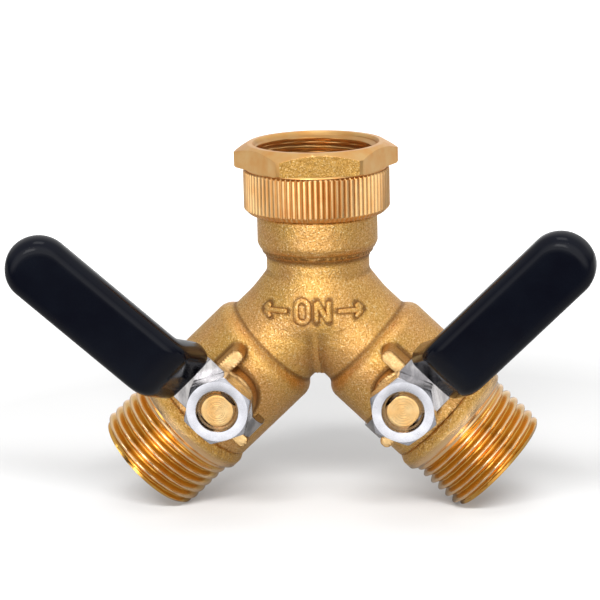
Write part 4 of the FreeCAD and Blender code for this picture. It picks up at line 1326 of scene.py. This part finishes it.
def mark_painted_shade_and_milling(piece):
    """Mark from 0 to 1 where the casting gets painted shade, and with faced where its pads are milled.

    Where the skin is hollow, its distance falls off on both sides, so the mean of the distances around a
    point is below the point's own; there the tone gets painted shade. The valley between the arms gets
    painted shade on both flanks of its ridge, and its middle above that is clear. On the lettering the
    painted shade fades with the height above the skin, and beside a stroke it fades with the distance from
    the stroke's edge. The pads' steep walls get painted shade too.
    """
    points = read_all(piece.data.vertices, "co") / MM
    facing = np.abs(read_all(piece.data.vertices, "normal")[:, 1])
    height = body_distance(points)
    around = sum(
        body_distance(points + way * step) for step in np.eye(3) * HOLLOW_REACH for way in (-1, 1))
    mark = ramp((6 * height - around) / HOLLOW_REACH ** 2, HOLLOW_START, HOLLOW_FULL)
    across, above = np.abs(points[:, 0]), points[:, 2] - JUNCTION[2]
    middle = (1 - ramp(above, *MIDDLE_TOP)) * (1 - ramp(across, *MIDDLE_CLEAR))
    valley = ramp(-above, WEB_TOP, WEB_TOP + VALLEY_FADE) * (1 - ramp(across, VALLEY_NEAR, VALLEY_REACH))
    valley *= ramp(across, WEB_HALF_WIDTH, 2 * WEB_HALF_WIDTH)
    # Painted shade on both flanks of the valley's ridge
    mark = np.maximum(mark * (1 - middle), VALLEY_PAINTED_SHADE * valley)
    raised = height > LETTER_LEAST
    # Painted shade at the letters' feet, fading with their height
    mark[raised] = 1 - ramp(height[raised], 0, LETTER_PAINTED_SHADE_SHARE * LETTER_RAISE)
    forward = ~raised & (points[:, 1] < -WALL_FRONT)
    # Painted shade on the pads' steep walls
    mark[forward] = np.maximum(mark[forward], WALL_PAINTED_SHADE * (1 - ramp(facing[forward], *WALL_FACING)))
    near = ~raised & (points[:, 1] < -WATERWAY_R) & (across < ARROW_START + ARROW_LENGTH + LETTER_SEARCH)
    near &= np.abs(above) < 2 * LETTER_HEIGHT
    places = points[near][:, [0, 2]]
    beside = np.full(len(places), FAR_AWAY)
    for path, _, half_width in lettering_strokes():
        gap = np.linalg.norm(places[:, None] - path[None, ::2], axis=2).min(1) - half_width
        beside = np.minimum(beside, gap)
    # Painted shade round each stroke
    mark[near] = np.maximum(mark[near], 1 - ramp(beside, 0, HOLLOW_BESIDE))
    place = points - JUNCTION
    place[:, 0] = across
    side_way = place @ np.cross(-OUT["right"], FRONT)
    back_way = STEM_PLACE - place @ OUT["right"]
    closed_stop = (side_way < -PAD_R + CLOSED_STOP_SIDE) & (back_way < CLOSED_STOP_BACK)
    milled = ramp(-points[:, 1], *(PAD_TOP - depth for depth in MILLED_DEPTH)) * ramp(facing, *MILLED_FACING)
    # The hollow mark carries painted shade to the material
    set_mark(piece, "hollow", mark)
    set_mark(piece, "faced", milled * np.where(closed_stop, 1, PAD_POLISH))


def build_object():
    """Make every visible piece and dress every node of the frame that stays."""
    rubber = soft_seal("rubber", RUBBER_TONE, RUBBER_SHADE, 0.6)
    ptfe = soft_seal("ptfe", PTFE_TONE, PTFE_SHADE, 0.45)
    nut = make_piece(
        "hex_swivel_nut", [nut_shell()], "inlet_nut", ["swivel_nut"],
        machined_brass("nut_brass", ORIGIN, UPRIGHT, NUT_TONE, dull=0.32, cast_skin=True), sharp_degrees=20.0)
    mark_nut(nut)
    lettering = [stroke_shell(*stroke) for stroke in lettering_strokes()]
    body = make_piece(
        "cast_y_body", [body_shell()] + lettering, "housing", ["y_body"], cast_brass(),
        sharp_degrees=40.0)
    mark_painted_shade_and_milling(body)
    tail_brass = machined_brass("tail_brass", ORIGIN, UPRIGHT)
    dressed_copy("swivel_tail", "housing", tail_brass, bevel=0.12)
    dressed_copy("inlet_washer", "housing", rubber, bevel=0.2)
    chrome = plated_steel()
    steel = nut_steel()
    vinyl = black_vinyl()
    ball_plate = plated_ball()
    for side in SIDES:
        valve = side + "_valve"
        outlet_brass = machined_brass(
            side + "_outlet_brass", JUNCTION, outlet_axes(side), dull=0.17, marks=OUTLET_MARKS,
            cast_skin=True)
        outlet = make_piece(
            side + "_threaded_outlet", [outlet_shell(side)], "housing", [side + "_outlet"],
            outlet_brass)
        mark_outlet(outlet, side)
        make_piece(
            side + "_hex_lever_nut", [lever_nut_shell(side)], valve, [side + "_lever_nut"],
            steel, sharp_degrees=20.0)
        stem_brass = machined_brass(
            side + "_stem_brass", STEM[side], valve_axes(side) * MIRROR[side], STEM_TONE, dull=0.22,
            marks=STEM_MARKS)
        make_piece(
            side + "_turned_stem", [stem_shell(side), tang_shell(side)], valve,
            [side + "_stem"], stem_brass)
        make_piece(
            side + "_dipped_grip", [sleeve_shell(side)], valve, [side + "_lever_sleeve"],
            vinyl, sharp_degrees=50.0)
        dressed_copy(side + "_lever", valve, chrome, bevel=0.22)
        dressed_copy(side + "_ball", valve, ball_plate, bevel=0.15)
        for node in ("outlet_seal", "stem_o_rings"):
            dress_node(side + "_" + node, rubber)
        for node in ("inlet_seat", "outlet_seat", "thrust_washer"):
            dress_node(side + "_" + node, ptfe)
    dress_node("tail_seal", rubber)


def dress_node(node, material):
    """Give a CAD node that stays its material."""
    mesh = frame["nodes"][node].data
    mesh.materials.clear()
    mesh.materials.append(material)


build_object()


# Studio

def studio_camera():
    """A long lens a little above the object, turned slightly to its right and rolled by a degree."""
    yaw, elevation, roll = (math.radians(a) for a in (CAMERA_YAW, CAMERA_ELEVATION, CAMERA_ROLL))
    toward = Vector((
        math.sin(yaw) * math.cos(elevation), -math.cos(yaw) * math.cos(elevation), math.sin(elevation)))
    place = Vector(CAMERA_TARGET) * MM + toward * CAMERA_DISTANCE * MM
    right = Vector((math.cos(yaw), math.sin(yaw), 0))
    up = toward.cross(right)
    turned_right = right * math.cos(roll) - up * math.sin(roll)
    turned_up = up * math.cos(roll) + right * math.sin(roll)
    data = bpy.data.cameras.new("camera")
    data.lens = CAMERA_LENS
    data.sensor_width = CAMERA_SENSOR
    data.clip_start = 0.01
    camera = added("camera", data)
    columns = Matrix((turned_right, turned_up, toward)).transposed()
    camera.matrix_world = Matrix.Translation(place) @ columns.to_4x4()
    bpy.context.scene.camera = camera


def white_paper():
    """The floor's material: its lit part reads white to the camera, and metal mirrors a paler white.

    It glows more with the distance from its middle, and towards its front edge it turns clear.
    """
    material = bpy.data.materials.new("white_paper")
    material.use_nodes = True
    wire = Wiring(material.node_tree)
    shader = material.node_tree.nodes["Principled BSDF"]
    shader.inputs["Roughness"].default_value = 0.9
    shader.inputs["Specular IOR Level"].default_value = 0.1
    seen = wire.add("ShaderNodeLightPath").outputs
    wire.put(shader.inputs["Base Color"], wire.mix(seen["Is Camera Ray"], FLOOR_BOUNCE, FLOOR_TONE))
    mirror_rays = wire.math("MAXIMUM", seen["Is Glossy Ray"], seen["Is Transmission Ray"])
    rays = wire.math("MAXIMUM", seen["Is Camera Ray"], wire.math("MULTIPLY", mirror_rays, FLOOR_SHINE))
    place = wire.add("ShaderNodeTexCoord").outputs["Object"]
    level = wire.span(wire.length(place), FLOOR_NEAR, FLOOR_FAR, FLOOR_GLOW, 1.0)
    glow = wire.add("ShaderNodeEmission", {"Strength": wire.math("MULTIPLY", rays, level)})
    both = wire.add("ShaderNodeAddShader", {0: shader.outputs["BSDF"], 1: glow.outputs["Emission"]})
    back_way = wire.add("ShaderNodeSeparateXYZ", {"Vector": place}).outputs["Y"]
    clear = wire.add("ShaderNodeBsdfTransparent").outputs["BSDF"]
    faded = wire.add("ShaderNodeMixShader", {
        0: wire.span(back_way, -FLOOR_FRONT, FLOOR_FADE - FLOOR_FRONT), 1: clear, 2: both.outputs["Shader"]})
    wire.put(material.node_tree.nodes["Material Output"].inputs["Surface"], faded.outputs["Shader"])
    return material


def pale_floor():
    """A wide white floor under the outlets' rims.

    A lever that is turned down takes the floor with it, so that its grip's tip stays above it.
    """
    mesh = bpy.data.meshes.new("floor")
    half, front = FLOOR_HALF_WIDTH, -FLOOR_FRONT
    corners = [(-half, front, 0), (half, front, 0), (half, half, 0), (-half, half, 0)]
    mesh.from_pydata(corners, [], [(0, 1, 2, 3)])
    mesh.materials.append(white_paper())
    floor = added("floor", mesh)
    floor.location.z = cad_box[0].z
    line = lever_line(SLEEVE_BEND_R)
    tip = on_line(line, length_at(line, TIP_CENTRE), 0, 0)
    for side in SIDES:
        marker = added(side + "_tip_marker", None)
        marker.location = valve_points(tip[None], side)[0] * MM
        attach(marker, side + "_valve")
        limit = floor.constraints.new("FLOOR")
        limit.target = marker
        limit.floor_location = "FLOOR_NEGATIVE_Z"
        limit.offset = -TIP_CLEARANCE * MM


def soft_lamp(name, place, width, height, watts, mirrored):
    """An oblong lamp that faces the object; with mirrored false, glossy surfaces don't show it."""
    data = bpy.data.lights.new(name, "AREA")
    data.shape = "RECTANGLE"
    data.size = width
    data.size_y = height
    data.energy = watts
    lamp = added(name, data)
    lamp.visible_glossy = mirrored
    aim = Vector((0, 0, JUNCTION[2] * MM)) - Vector(place)
    lamp.matrix_world = Matrix.Translation(place) @ aim.to_track_quat("-Z", "Y").to_matrix().to_4x4()


def studio_world():
    """A broad soft panel in front, a dim room round it and a white backdrop behind; the camera sees white."""
    world = bpy.data.worlds.new("studio")
    world.use_nodes = True
    bpy.context.scene.world = world
    wire = Wiring(world.node_tree)
    heading = wire.add("ShaderNodeTexCoord").outputs["Generated"]
    parts = wire.add("ShaderNodeSeparateXYZ", {"Vector": heading}).outputs
    sky = wire.math("MULTIPLY", wire.span(parts["Z"], *SKY_RISE),
                    wire.span(parts["X"], -1, 1, SKY_LEFT, SKY_RIGHT))
    panel = wire.math("MULTIPLY", wire.span(parts["Z"], *PANEL_FOOT),
                      wire.span(parts["Y"], *PANEL_SIDES, 0.0, PANEL_LEVEL))
    behind = wire.span(parts["Y"], BACKDROP_START, 1.0)
    seen = wire.add("ShaderNodeLightPath").outputs["Is Camera Ray"]
    level = wire.span(parts["X"], ROOM_START, 1.0, ROOM_LEFT, ROOM_RIGHT)
    for other in (sky, panel, behind, seen):
        level = wire.math("MAXIMUM", level, other)
    background = world.node_tree.nodes["Background"].inputs
    background["Color"].default_value = (1, 1, 1, 1)
    wire.put(background["Strength"], level)


studio_camera()
pale_floor()
studio_world()
for lamp in LAMPS:
    soft_lamp(*lamp)
bpy.context.scene.view_settings.view_transform = "Standard"
